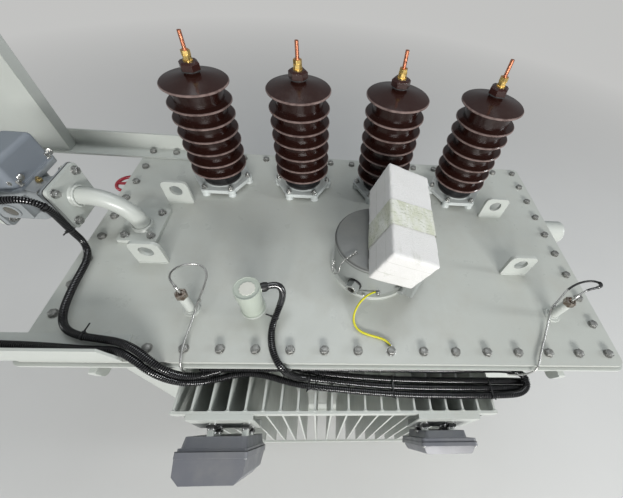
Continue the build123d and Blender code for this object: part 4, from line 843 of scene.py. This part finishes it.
def tube(pieces, line, stations, sides=16, stripe=None):
    """Tube through stations of distance and radius, both in metres."""
    rings = []
    for distance, radius in stations:
        point, along, normal = line.place(distance)
        rings.append(hoop(point, normal, along.cross(normal), radius, sides))
    pieces.skin(rings, stripe=stripe)


def rib_face(side, step):
    """Crest faces are glossy, the valleys between them dull and dark as painted shade."""
    return 0 if step % 4 == 2 else 1


def ribbed_conduit(name, route, plain_until=0.0):
    """Corrugated conduit, with a plain stretch of shrink sleeve at its start where asked."""
    line = route_line(route)
    crest = CONDUIT_RADIUS * MILLI
    valley = crest - RIB_DEPTH
    pieces = Pieces()
    if plain_until:
        dice = random.Random(5)
        count = int(plain_until / 0.004)
        plain = [(k * plain_until / count, crest - 0.0003 * dice.random()) for k in range(count + 1)]
        tube(pieces, line, plain)
    stations = []
    start = plain_until
    while start + RIB_PITCH < line.length:
        stations += [
            (start + RIB_START, valley), (start + 0.22 * RIB_PITCH, valley),
            (start + 0.40 * RIB_PITCH, crest), (start + 0.80 * RIB_PITCH, crest),
        ]
        start += RIB_PITCH
    stations.append((line.length, valley))
    tube(pieces, line, stations, stripe=rib_face)
    return pieces.finish(f"{name}_ribs", [CONDUIT, CONDUIT_VALLEY_SHADE]), line


def tie_band(pieces, line, place, radius, turn, tail=14.0):
    """Cable tie round one lead: band, lock and cut tail."""
    point, along = line.place(line.nearest(*place))[:2]
    band = frame_at(point, along, turn)
    shoulder = radius + 1.3
    pieces.lathe(band, (
        (radius, -TIE_WIDE), (shoulder, -TIE_WIDE), (radius + TIE_THICK, 0), (shoulder, TIE_WIDE),
        (radius, TIE_WIDE), (radius, -TIE_WIDE),
    ), 28, caps=False)
    lock = shifted(band, radius + 2.2, 0, 0)
    pieces.prism(lock, oblong(2.6, 3.6), ((-3.4, 0.9), (-3, 1), (3, 1), (3.4, 0.9)))
    if tail:
        strip = ((0, -0.7), (tail, -0.5), (tail, 0.5), (0, 0.7))
        pieces.prism(lock @ Matrix.Rotation(math.radians(-35), 4, "Z"), strip, ((-2.1, 1), (2.1, 1)))


def turns_right(before, middle, after):
    """Whether three flat points bend to the right, or not at all."""
    first = (middle[0] - before[0]) * (after[1] - before[1])
    second = (middle[1] - before[1]) * (after[0] - before[0])
    return first - second <= 0


def half_hull(run):
    """Lower side of the convex outline of sorted points."""
    out = []
    for point in run:
        while len(out) > 1 and turns_right(out[-2], out[-1], point):
            out.pop()
        out.append(point)
    return out[:-1]


def hull(points):
    """Convex outline of flat points, in order."""
    points = sorted(set(points))
    return half_hull(points) + half_hull(points[::-1])


def bundle_tie(pieces, x, tail):
    """Cable tie drawn round the three conduits where they cross an upright plane of constant X."""
    rounds = []
    for line in (relay_line, sensor_line, level_line):
        low = [point for point in line.points if point.z <= BUNDLE_TOP]
        near = min(low, key=lambda point: abs(point.x - x * MILLI))
        spot = (near.y / MILLI, near.z / MILLI - COVER_TOP)
        rounds += [(round(y, 3), round(z, 3)) for y, z in circle(16, CONDUIT_RADIUS + TIE_THICK, 0, spot)]
    outer = hull(rounds)
    middle_y = sum(y for y, z in outer) / len(outer)
    middle_z = sum(z for y, z in outer) / len(outer)
    rings = []
    for side, inset in ((-TIE_WIDE, 1.3), (-TIE_WIDE, 0), (TIE_WIDE, 0), (TIE_WIDE, 1.3), (-TIE_WIDE, 1.3)):
        ring = []
        for y, z in outer:
            away = Vector((y - middle_y, z - middle_z))
            away = away * (1 - inset / max(away.length, 1))
            ring.append(at(x + side, middle_y + away.x, middle_z + away.y))
        rings.append(ring)
    pieces.skin(rings, caps=False)
    top_y, top_z = max(outer, key=lambda p: p[1] - 1.1 * p[0])
    lock = frame_at(at(x, top_y, top_z + 1.8))
    pieces.prism(lock, oblong(3.4, 2.6), ((-1.6, 0.9), (-1, 1), (2, 1), (2.6, 0.9)))
    root = Vector((x, top_y, top_z + 2.5))
    wide = Vector((2.1, 0, 0))
    thick = Vector((0, 0, 0.5))
    ends = []
    for spot in (root, root + Vector((tail[0], -tail[1], 4))):
        corners = ((1, 1), (1, -1), (-1, -1), (-1, 1))
        ends.append([at(*(spot + wide * side + thick * up)) for side, up in corners])
    pieces.skin(ends)


def declare_lead(node):
    """Hides a lead's node of the CAD model."""
    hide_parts(node)


relay_ribs, relay_line = ribbed_conduit("relay_conduit", RELAY_CONDUIT)
level_ribs, level_line = ribbed_conduit("level_conduit", LEVEL_CONDUIT)
sensor_ribs, sensor_line = ribbed_conduit("sensor_conduit", SENSOR_CONDUIT, SHRINK_SLEEVE)

ties = Pieces()
bundle_tie(ties, -93, (-6, 12))
bundle_tie(ties, 163, (4, 10))
bundle_tie(ties, 474, (3, 8))
tie_band(ties, relay_line, (-710, -428, 31), 10.4, 40, 26)
tie_band(ties, relay_line, (-873, -110, 202), 10.4, 200)
tie_band(ties, relay_line, (-868, -107, 98), 10.4, 200)
bundle_ties = ties.finish("bundle_ties", [TIE_PLASTIC])
ties = Pieces()
tie_band(ties, sensor_line, (-200, -362, 36), 10.4, 200, 20)
sensor_tie = ties.finish("sensor_tie", [TIE_PLASTIC])
ties = Pieces()
tie_band(ties, level_line, (-1300, -459, 66), 10.4, 60)
level_tie = ties.finish("level_tie", [TIE_PLASTIC])
for ribs, node, route, line, tie in (
    (relay_ribs, "relay_conduit", RELAY_CONDUIT, relay_line, bundle_ties),
    (level_ribs, "level_conduit", LEVEL_CONDUIT, level_line, level_tie),
    (sensor_ribs, "sensor_conduit", SENSOR_CONDUIT, sensor_line, sensor_tie),
):
    declare_lead(node)


def sleeve(pieces, line, start, end, radius, material=0, lip=0.0):
    """Snug sleeve along part of a thin lead."""
    count = max(4, int((end - start) / 0.004))
    stations = []
    for k in range(count + 1):
        grown = radius + (lip if k in (0, count) else 0)
        stations.append((start + (end - start) * k / count, grown * MILLI))
    tube(pieces, line, stations, 14, lambda side, step: material)


def capillary(name, route):
    """Thin woven lead, and its line for what is on it."""
    line = route_line(route)
    pieces = Pieces()
    tube(pieces, line, line.even(int(line.length / 0.002), CAPILLARY_RADIUS * MILLI))
    return pieces.finish(f"{name}_braid", [BRAID], sharp=60), line


left_braid, left_line = capillary("left_capillary", LEFT_CAPILLARY)
right_braid, right_line = capillary("right_capillary", RIGHT_CAPILLARY)

fittings = Pieces()
sleeve(fittings, left_line, 0.004, 0.030, 4.2, 0, 0.3)
tie_band(fittings, left_line, (-436, -312, 39), 2.6, 30, 0)
left_fittings = fittings.finish("left_capillary_fittings", [BRIGHT_ZINC])

fittings = Pieces()
sleeve(fittings, right_line, 0.004, 0.028, 4.2, 0, 0.3)
for start, end, radius, lip in (
    ((757, -298, 135), (756, -258, 72), 3.6, 0),
    ((812, -281, 126), (846, -252, 110), 5.2, 0.2),
):
    sleeve(fittings, right_line, right_line.nearest(*start), right_line.nearest(*end), radius, 1, lip)
tie_band(fittings, right_line, (712, -300, 34), 2.6, 30, 0)
right_fittings = fittings.finish("right_capillary_fittings", [BRIGHT_ZINC, BLACK_PLASTIC])

for braid, node, route, line, held in (
    (left_braid, "left_capillary", LEFT_CAPILLARY, left_line, left_fittings),
    (right_braid, "right_capillary", RIGHT_CAPILLARY, right_line, right_fittings),
):
    declare_lead(node)


def green_line(side, step):
    """A green line that winds slowly round the yellow insulation."""
    return 1 if (side + step // 14) % 16 in (0, 1, 2) else 0


# Earth wire with a ring lug at its end
earth_line = route_line(EARTH_WIRE)
insulation = Pieces()
earth_stations = earth_line.even(int(earth_line.length / 0.003), EARTH_RADIUS * MILLI)
tube(insulation, earth_line, earth_stations, stripe=green_line)
earth_insulation = insulation.finish("earth_insulation", [YELLOW, GREEN], sharp=60)
lug = Pieces()
eye = ((8.5, 0.2), (15, 0.2), (15, 2.0), (8.5, 2.0), (8.5, 0.2))
lug.lathe(frame_at(at(150, -450, 0)), eye, 24, caps=False)
barrel = Line([at(150, -436, 1.5), at(150, -433, 4.0), at(149, -428, 4.6), at(146.5, -423, 4.8)])
tube(lug, barrel, barrel.even(6, 0.0038), 14)
earth_lug = lug.finish("earth_lug", [BRIGHT_ZINC])
declare_lead(
    "earth_wire"
)


def make_stage():
    """Pale floor and world, both paler to the camera than to reflections."""
    bpy.ops.mesh.primitive_plane_add(size=60)
    floor = bpy.context.object
    floor.name = "floor"
    shade = Shade("floor_screed", (0.60, 0.60, 0.59), 0.8)
    shade.cloud((1.4, 6, 0.65), 0.4, 0.75, 0.25, (0.55, 0.55, 0.54))
    far = shade.node("ShaderNodeVectorMath", "Value", {0: shade.place}, operation="LENGTH")
    glow = shade.node("ShaderNodeEmission", 0, {"Color": (0.58, 0.58, 0.57, 1)})
    rays = shade.node("ShaderNodeLightPath", "Is Camera Ray")
    seen = shade.times(shade.span(far, 2.4, 7.0, 0, 0.9), rays)
    mixed = shade.node("ShaderNodeMixShader", 0, enumerate((seen, shade.shader.outputs[0], glow)))
    shade.plug(mixed, shade.tree.nodes["Material Output"].inputs["Surface"])
    floor.data.materials.append(shade.material)
    world = bpy.data.worlds.new("world")
    scene.world = world
    world.use_nodes = True
    background = world.node_tree.nodes["Background"]
    background.inputs["Color"].default_value = (0.93, 0.97, 1.0, 1)
    rays = world.node_tree.nodes.new("ShaderNodeLightPath")
    pale = world.node_tree.nodes.new("ShaderNodeMapRange")
    pale.inputs["To Min"].default_value = 0.24
    pale.inputs["To Max"].default_value = 0.80
    world.node_tree.links.new(rays.outputs["Is Camera Ray"], pale.inputs["Value"])
    world.node_tree.links.new(pale.outputs["Result"], background.inputs["Strength"])


def make_lamp(name, place, target, size, power, colour):
    lamp = bpy.data.objects.new(name, bpy.data.lights.new(name, "AREA"))
    scene.collection.objects.link(lamp)
    lamp.data.shape = "RECTANGLE"
    lamp.data.size, lamp.data.size_y = size
    lamp.data.energy = power
    lamp.data.color = colour
    lamp.location = place
    lamp.rotation_euler = (Vector(target) - Vector(place)).to_track_quat("-Z", "Y").to_euler()


make_stage()
make_lamp("front_light", (1.1, -6.0, 3.2), (0, 0, 1.1), (3.6, 0.8), 425, (1.0, 0.99, 0.97))
make_lamp("roof_light", (0.2, 1.8, 6.4), (0, 0, 1.0), (5.0, 2.2), 95, (0.93, 0.97, 1.0))
make_lamp("right_light", (5.5, -0.8, 3.2), (0, 0, 1.2), (0.8, 2.0), 95, (0.95, 0.98, 1.0))
make_lamp("left_light", (-5.8, -0.4, 3.2), (0, 0, 1.2), (0.8, 2.0), 52, (0.95, 0.98, 1.0))

# One run of drawn turns goes through all the bolts and nuts, in the order they are made
dice = random.Random(11)


def drawn(x, y, height, axis=UP):
    """Frame over the cover with a drawn turn, so that no two hexagons stand alike."""
    return frame_at(at(x, y, height), axis, dice.uniform(0, 60))


def cover_bolts():
    """Bolts on the cover's grid, with nuts and stud ends under the rim."""
    bolts = Pieces()
    nuts = Pieces()
    spots = []
    for x in range(-BOLT_ROW_X, BOLT_ROW_X + 1, BOLT_PITCH):
        spots += [(x, -BOLT_ROW_Y), (x, BOLT_ROW_Y)]
    for y in range(BOLT_PITCH - BOLT_ROW_Y, BOLT_ROW_Y, BOLT_PITCH):
        spots += [(-BOLT_ROW_X, y), (BOLT_ROW_X, y)]
    for x, y in spots:
        on_angle = abs(y) == BOLT_ROW_Y and x < ANGLE_END
        if not (on_angle and y < 0):
            bolts.bolt_head(drawn(x, y, ANGLE_THICK if on_angle else 0), 23, 9, 14.2)
        nuts.bolt_head(drawn(x, y, RIM_UNDERSIDE, DOWN), 24, 12, 14.5, 7)
    bolts.finish("cover_bolts", [BOLT_STEEL])
    nuts.finish("cover_nuts", [BOLT_STEEL])


def bushing_parts():
    """Nuts of the clamps, sealing rings round the porcelains and under the terminals."""
    studs = Pieces()
    seals = Pieces()
    foot = ((69.8, 1.5), (75, 1.6), (75.5, 3.6), (72, 6), (68.4, 6.4), (68.3, 1.5), (69.8, 1.5))
    for number in range(4):
        x = BUSHING_MIDDLE + (number - 1.5) * BUSHING_PITCH
        for stud_x, stud_y in circle(6, CLAMP_BOLT_RADIUS, 0, (x, BUSHING_Y)):
            studs.bolt_head(drawn(stud_x, stud_y, CLAMP_TOP), 17, 8, 11, 7)
        seals.lathe(frame_at(at(x, BUSHING_Y, CLAMP_TOP)), foot, 56, caps=False)
        top = frame_at(at(x, BUSHING_Y, CAP_BOTTOM))
        seals.lathe(top, ((24, 1.0), (28.5, 1.0), (29.5, 3), (28.5, 4.9), (24, 4.9)), 32)
    studs.finish("clamp_nuts", [BRIGHT_ZINC])
    seals.finish("bushing_seals", [RUBBER])


def relay_flanges():
    """Bolts of the two pipe flanges and of the pad, and a gasket on each face of the relay."""
    bolts = Pieces()
    right, left = RELAY_FACES
    for side_y in (-RELAY_BOLT_REACH, RELAY_BOLT_REACH):
        for side_z in (-RELAY_BOLT_REACH, RELAY_BOLT_REACH):
            rows = ((right + 12, 1, 0), (right - 14, -1, 5), (left + 14, 1, 5), (left - 12, -1, 0))
            for x, way, stud in rows:
                place = drawn(x, RELAY_AXIS[0] + side_y, RELAY_AXIS[1] + side_z, (way, 0, 0))
                bolts.bolt_head(place, 21, 11, 14.5, stud)
    for x, y in ((-766, -50), (-766, 64), (-678, -50), (-678, 64)):
        bolts.bolt_head(drawn(x, y, 14), 21, 11, 14.5, 4)
    bolts.finish("relay_flange_bolts", [GREY_ZINC])
    gaskets = Pieces()
    for x in RELAY_FACES:
        place = frame_at(at(x, *RELAY_AXIS), SIDEWAYS)
        gaskets.prism(place, rounded_oblong(78.2, 78.2, 12.2), ((-1.1, 1), (1.1, 1)))
    gaskets.finish("relay_gaskets", [RUBBER])


def relay_wings():
    """Wing screws that hold the relay's terminal cover."""
    wings = Pieces()
    for x, y, turn in ((-952, 84, 25), (-952, -52, 70), (-1038, 84, -20), (-1038, -58, 10)):
        place = frame_at(at(x, y, 227), UP, turn)
        stem = ((9.5, 0), (9.5, 2), (6.4, 2.5), (6.4, 8), (8, 9), (8, 17), (6, 19), (2.5, 19.6))
        wings.lathe(place, stem)
        for side in (-1, 1):
            root = shifted(place, side * 13, 0, 17) @ Matrix.Rotation(side * 0.5, 4, "Y")
            blade = [(9.5 * out_x, 2.8 * out_y) for out_x, out_y in circle(16)]
            wings.prism(root, blade, ((-10, 0.45), (-6, 0.8), (2, 1.0), (8, 0.85), (11.5, 0.4)))
    wings.finish("relay_wing_screws", [BRIGHT_ZINC])


def relay_fittings():
    """Test cock and gland nut of the relay, and its sight window."""
    small = Pieces()
    small.nut(frame_at(at(-930, -15, 214), UP, 12), 17, 8)
    small.lathe(frame_at(at(-930, -15, 222)), ((5, -0.5), (5, 6), (4, 7)), 16)
    small.lathe(frame_at(at(-1036, -97, 214), FORWARD), ((14.2, -3), (14.2, 3), (12.6, 3.6)), 24)
    small.finish("relay_fittings", [DULL_BRASS])
    window = Pieces()
    place = frame_at(at(*SIGHT_WINDOW), FORWARD)
    window.lathe(place, ((17.6, 0), (17.6, 2.9), (16, 3.3)), 36)
    window.lathe(place, ((24, -0.5), (24, 4), (21, 5.5), (19, 5.5), (17.5, 3.2), (17.5, 2.6)), 40, 1)
    window.finish("relay_window_glass", [WINDOW_GLASS, RELAY_GREY])


def relief_parts():
    """Rivets and earth bolt on the relief valve's flange, and its side gland."""
    bolts = Pieces()
    for x, y in circle(6, RELIEF_PAD_RADIUS, 15, RELIEF):
        bolts.lathe(frame_at(at(x, y, 12), UP, 20), ((4.6, -0.5), (4.6, 2.2), (3.6, 3.2)), 12)
    out = heading(-87)
    bolts.bolt_head(frame_at(out_from(RELIEF, out, RELIEF_BOSS_RADIUS, 37), out, 10), 13, 6, 8.5)
    bolts.finish("relief_valve_bolts", [BRIGHT_ZINC])
    gland = Pieces()
    out = heading(-120)
    lining = ((11.9, -22), (11.9, 0.6), (15.5, 0.6), (17.2, -0.8), (17.2, -1.5))
    gland.lathe(frame_at(out_from(RELIEF, out, 165, 50), out), lining, 30, caps=False)
    root = frame_at(out_from(RELIEF, out, 137, 50), out)
    gland.lathe(root, ((22.5, -2), (24, 0), (24, 4.6), (22, 5.4)), 32, 1)
    gland.finish("relief_gland_lining", [BRIGHT_ZINC, BLACK_PLASTIC])


SEAL_ROUTE = (
    (33, -200, 155.2), (22, -208, 154.6), (8, -220, 153), (-6, -233, 148), (-13, -240, 136), (-14, -240, 112),
    (-20, -232, 84), (-28, -220, 66), (-33, -208, 74), (-33, -206, 96), (-31, -208, 112),
)
SEAL_STEP = 0.0012
SEAL_TWIST = 0.0075
STRAND_OFFSET = 0.0013


def seal_wire():
    """Two thin strands twisted together, from the dome over the rim and up again, looped at the ends."""
    line = route_line(SEAL_ROUTE)
    pieces = Pieces()
    count = int(line.length / SEAL_STEP)
    for strand in (0, 1):
        points = []
        for k in range(count + 1):
            point, along, normal = line.place(k * SEAL_STEP)
            turn = k * SEAL_STEP / SEAL_TWIST * 2 * math.pi + strand * math.pi
            way = normal * math.cos(turn) + along.cross(normal) * math.sin(turn)
            points.append(point + way * STRAND_OFFSET)
        path = Line(points)
        tube(pieces, path, path.even(count, 0.00095), 6)
    for centre, axis in (((36.5, -197.5, 156), (0.1, 0.1, 1)), ((-31, -207, 118), (-1, -0.9, 0.2))):
        loop = ring_points(at(*centre), 4.5, axis, 24)
        path = Line(loop + [loop[0]])
        tube(pieces, path, path.even(24, 0.001), 6)
    pieces.finish("seal_wire", [BRIGHT_ZINC], sharp=80)


def sensor_disc():
    """Bare scalloped disc on the sensor head."""
    disc = Pieces()
    outline = []
    for x, y in circle(72):
        reach = 22.5 + 0.9 * math.cos(math.atan2(y, x) * 12)
        outline.append((reach * x, reach * y))
    disc.prism(frame_at(at(-277, -316, 118.4), UP, 8), outline, ((0, 1), (1.0, 1), (1.5, 0.97)))
    disc.finish("sensor_disc", [DISC_PLASTIC])


def conduit_glands():
    """Sleeves where the three conduits start."""
    glands = Pieces()
    out = heading(SENSOR_GLAND_TURN)
    sleeve_outline = ((13.2, -11), (14.6, -10), (14.6, 2), (12.2, 8), (11.2, 10))
    glands.lathe(frame_at(out_from(SENSOR, out, 50, 100), out), sleeve_outline, 28)
    glands.lathe(frame_at(at(*LEVEL_GLAND), DOWN), sleeve_outline, 28)
    glands.lathe(frame_at(at(*RELAY_GLAND), FORWARD), ((12.2, -1), (13.4, 0), (13.2, 6), (11.3, 12)), 28)
    glands.finish("conduit_glands", [BLACK_PLASTIC])


# Each gauge box: its middle's X, back's Y, lip's size, the case's front and the lip's from the back, its
# mounts' and bracket ends' X
GAUGES = (
    (-350, -655, (198, 320), 36, 52, (-371.5, -272.5), (-434, -246)),
    (328, -644, (169, 254), 30, 40, (268, 352), (238, 426)),
)
MOUNT_DROPS = (158, 228)


def gauge_parts():
    """Cover screws, seals, mount collars and clips, and bracket bolts of the two gauge boxes."""
    screws = Pieces()
    seals = Pieces()
    collars = Pieces()
    clips = Pieces()
    for middle, back_y, (width, height), case_front, lip_front, mounts, bracket in GAUGES:
        back = Matrix.Translation(at(middle, back_y, -120)) @ Matrix((
            (1, 0, 0, 0),
            (0, -math.sin(GAUGE_LEAN), -math.cos(GAUGE_LEAN), 0),
            (0, math.cos(GAUGE_LEAN), -math.sin(GAUGE_LEAN), 0),
            (0, 0, 0, 1),
        ))
        for x in (-width / 2 + 7, width / 2 - 7):
            for y in (-8, -height + 8):
                place = shifted(back, x, y, lip_front)
                screws.lathe(place, ((5.2, -0.5), (5.2, 1.8), (4.2, 3.2), (1.2, 3.4)), 16)
        half = width / 2 - 2
        outline = ((-half, -2), (-half, -height + 2), (half, -height + 2), (half, -2))
        seals.prism(back, outline, ((case_front - 1.2, 1), (case_front + 1.2, 1)))
        for x in mounts:
            for drop in MOUNT_DROPS:
                place = frame_at(at(x, GAUGE_FACE_Y, -drop), FORWARD)
                collars.lathe(place, ((13, 0), (13, 4), (11.5, 5), (10.2, 5)), 24)
                collars.lathe(place, ((10.2, 14), (11.6, 14.4), (11.6, 18.6), (10.2, 19)), 24)
                clip = frame_at(at(x, GAUGE_FACE_Y - 6.2, -drop), FORWARD)
                clips.prism(clip, oblong(11, 17), ((0, 0.94), (1.2, 1), (6.6, 1), (7.8, 0.94)))
        for x in (bracket[0] + 14, bracket[1] - 14):
            collars.bolt_head(frame_at(at(x, -609, -104), DOWN, 10), 10, 5, 8, 6)
    screws.finish("gauge_screws", [BRIGHT_ZINC])
    seals.finish("gauge_seals", [RUBBER])
    collars.finish("gauge_mount_collars", [GREY_ZINC])
    clips.finish("gauge_mount_clips", [BLACK_PLASTIC])


def level_gauge_face():
    """Bezel, dial and pointer of the conservator's level gauge."""
    x, height = CONSERVATOR
    bezel = Pieces()
    face = frame_at(at(x, -526, height), FORWARD)
    section = ((60.3, -5), (60.3, 1.5), (66, 3.5), (73, 2.5), (75.6, 0), (75.6, -8), (74.9, -8))
    bezel.lathe(face, section, 64, caps=False)
    for screw_x, screw_y in circle(6, 68, 30):
        bezel.lathe(shifted(face, screw_x, screw_y, 2.6), ((3.4, -1), (3.4, 1.6), (2.4, 2.4)), 12)
    bezel.finish("level_bezel", [BRIGHT_ZINC])
    dial = Pieces()
    dial.lathe(frame_at(at(x, -521, height), FORWARD), ((59.8, 0), (59.8, 0.8)), 64)
    dial.finish("level_dial", [DIAL])
    pointer = Pieces()
    place = frame_at(at(x, -521, height), FORWARD, 35)
    pointer.lathe(place, ((6, 0.5), (6, 3), (4, 4)), 20)
    pointer.prism(place, ((-12, -2), (46, -0.6), (46, 0.6), (-12, 2)), ((1.6, 1), (2.4, 1)))
    for step in range(-4, 5):
        mark = place @ Matrix.Rotation(math.radians(step * 22.5), 4, "Z")
        pointer.prism(mark, ((47, -0.9), (55, -0.9), (55, 0.9), (47, 0.9)), ((0.7, 1), (1.1, 1)))
    pointer.finish("level_pointer", [BLACK_PLASTIC])


# Round seams: middle, radius, axis, points and the bead's radius
ROUND_SEAMS = (
    ((-279, -315, 0.8), 38.6, UP, 44, 1.8),
    ((110, -127, 0.9), 147.6, UP, 150, 1.6),
    ((-861.5, -2, 148), 32.5, SIDEWAYS, 44, 4.0),
    ((-1108.5, -2, 148), 32.5, SIDEWAYS, 44, 4.0),
    ((-722, -2, 26), 32, UP, 44, 3.6),
    ((-1400, -2, 322.5), 31, UP, 44, 3.0),
    ((811, 192, -126), 52.5, SIDEWAYS, 56, 3.2),
    ((-811, 350, -215), 18.5, SIDEWAYS, 26, 2.4),
)


def weld_beads():
    """Weld beads of the lugs, pockets, pipes, conservator ends, hooks and support angles."""
    welds = Pieces()

    def straight(start, end, step, radius, seed):
        welds.bead(line_points(at(*start), at(*end), step), radius, seed, False)

    for end in (-1, 1):
        for side in (-1, 1):
            x, y = end * LUG_REACH[0], side * LUG_REACH[1]
            for way in (-1, 1):
                seam_y = y + way * 6.6
                straight((x - 46, seam_y, 1.2), (x + 46, seam_y, 1.2), 5, 2.6, x + y + way)
    for x, y in POCKETS:
        welds.bead(ring_points(at(x, y, 6.5), 15.5, UP, 26), 2.6, x)
        welds.bead(ring_points(at(x, y, 0.8), 24.6, UP, 34), 2.0, y)
    for seed, (centre, reach, axis, count, radius) in enumerate(ROUND_SEAMS, start=3):
        welds.bead(ring_points(at(*centre), reach, axis, count), radius, seed)
    x, height = CONSERVATOR
    for side in (-1, 1):
        welds.bead(ring_points(at(x, side * 480, height), 201.5, (0, 1, 0), 210), 2.2, 11 + side)
        for hook in (-HOOK_X, HOOK_X):
            for way in (-1, 1):
                seam_x = hook + way * 10.6
                straight((seam_x, side * 411, -28), (seam_x, side * 411, -81), 5, 2.6, hook + way)
                straight((seam_x, side * 412, -26.8), (seam_x, side * 494, -26.8), 5, 2.2, hook - way)
        straight((-1590, side * 425.4, 8.8), (-1210, side * 425.4, 8.8), 6, 2.2, 20 + side)
    welds.finish("weld_beads", [TANK_PAINT], sharp=70)


def fin_seams():
    """Fine beads where the bars meet the fins."""
    seams = Pieces()
    for side in (-1, 1):
        y = side * FIN_TIP_Y
        for number in range(FIN_COUNT):
            x = FIN_MIDDLE + (number - (FIN_COUNT - 1) / 2) * FIN_PITCH
            for height in FIN_ENDS:
                points = line_points(at(x - 3.4, y, height), at(x + 3.4, y, height), 2.0)
                seams.bead(points, 1.6, number, False)
    seams.finish("fin_seams", [TANK_PAINT], sharp=70)


def soft_foam():
    """The foam block with rounded edges and corners, in the CAD block's place."""
    made = bpy.data.objects.new("foam_packing", nodes["foam_block"].data.copy())
    scene.collection.objects.link(made)
    remesh = made.modifiers.new("remesh", "REMESH")
    remesh.mode = "VOXEL"
    remesh.voxel_size = 0.0035
    smooth = made.modifiers.new("smooth", "SMOOTH")
    smooth.factor = 0.5
    smooth.iterations = 26
    data = bpy.data.meshes.new_from_object(made.evaluated_get(bpy.context.evaluated_depsgraph_get()))
    made.modifiers.clear()
    made.data = data
    data.materials.clear()
    data.materials.append(FOAM)
    data.shade_smooth()
    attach(made, TANK)
    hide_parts("foam_block")


TAPE_HALF_X = 73.4
TAPE_HALF_Z = 71.4
TAPE_CORNER = 8
TAPE_WIDTH = 48
TAPE_ROWS = 8
TAPE_LIFT = 0.35
TAPE_STEP = 6
# Each turn's middle along the block and how far it runs askew
TAPE_TURNS = ((-2, 4), (-30, -5), (-48, 3))


def foam_tape():
    """Tape wound round the middle of the foam block in three crossing turns."""
    block = Matrix.Translation(at(*FOAM_CENTRE))
    for angle, axis in zip(FOAM_TURN, "XYZ"):
        block = block @ Matrix.Rotation(math.radians(angle), 4, axis)
    outline = rounded_oblong(TAPE_HALF_X, TAPE_HALF_Z, TAPE_CORNER)
    fine = []
    for (x0, z0), (x1, z1) in zip(outline, outline[1:] + outline[:1]):
        parts = max(1, int(math.hypot(x1 - x0, z1 - z0) / TAPE_STEP))
        fine += [(x0 + (x1 - x0) * part / parts, z0 + (z1 - z0) * part / parts) for part in range(parts)]
    pieces = Pieces()
    wrinkles = random.Random(3)
    for number, (middle, skew) in enumerate(TAPE_TURNS):
        lift = TAPE_LIFT + TAPE_LIFT * number
        rows = []
        for row in range(TAPE_ROWS + 1):
            edge = 0.8 if row in (0, TAPE_ROWS) else 0
            ring = []
            for x, z in fine:
                across = middle + skew * (x / TAPE_HALF_X) + TAPE_WIDTH * (row / TAPE_ROWS - 0.5)
                grow = 1 + (lift + 0.35 * wrinkles.random()) / 72
                across += wrinkles.uniform(-edge, edge)
                ring.append(block @ (Vector((x * grow, across, z * grow)) * MILLI))
            rows.append(ring)
        pieces.skin(rows, caps=False)
    pieces.finish("foam_tape", [TAPE], sharp=80)


cover_bolts()
bushing_parts()
relay_flanges()
relay_wings()
relay_fittings()
relief_parts()
seal_wire()
sensor_disc()
conduit_glands()
gauge_parts()
level_gauge_face()
weld_beads()
fin_seams()
soft_foam()
foam_tape()

# Materials of the CAD pieces, by slot and, where one differs, by name
LOOKS = {
    "brown_porcelain": PORCELAIN,
    "brown_enamel": ENAMEL,
    "copper_brass": TERMINAL_METAL,
    "cast_clamp_paint": CLAMP_PAINT,
    "black_rubber": RUBBER,
    "white_foam": FOAM,
    "black_conduit": CONDUIT,
    "steel_capillary": BRAID,
    "yellow_green_wire": YELLOW,
    "red_paint": WHEEL_PAINT,
    "grey_casting": GAUGE_GREY,
    "pale_plastic": SENSOR_PLASTIC,
    "bright_steel": POCKET_METAL,
    "light_grey_paint": TANK_PAINT,
}
OWN_LOOKS = {
    "tank_cover": COVER_PAINT,
    "relay_body": RELAY_GREY,
    "relay_terminal_cover": RELAY_COVER_GREY,
    "relief_valve_cap": RELIEF_GREY,
    "relief_valve_switch": RELIEF_GREY,
    "level_gauge": RELAY_GREY,
}
for node in nodes.values():
    slot = node.data.materials[0].name.split(".")[0] if node.data.materials else "light_grey_paint"
    node.data.materials.clear()
    node.data.materials.append(OWN_LOOKS.get(node.name, LOOKS.get(slot, TANK_PAINT)))
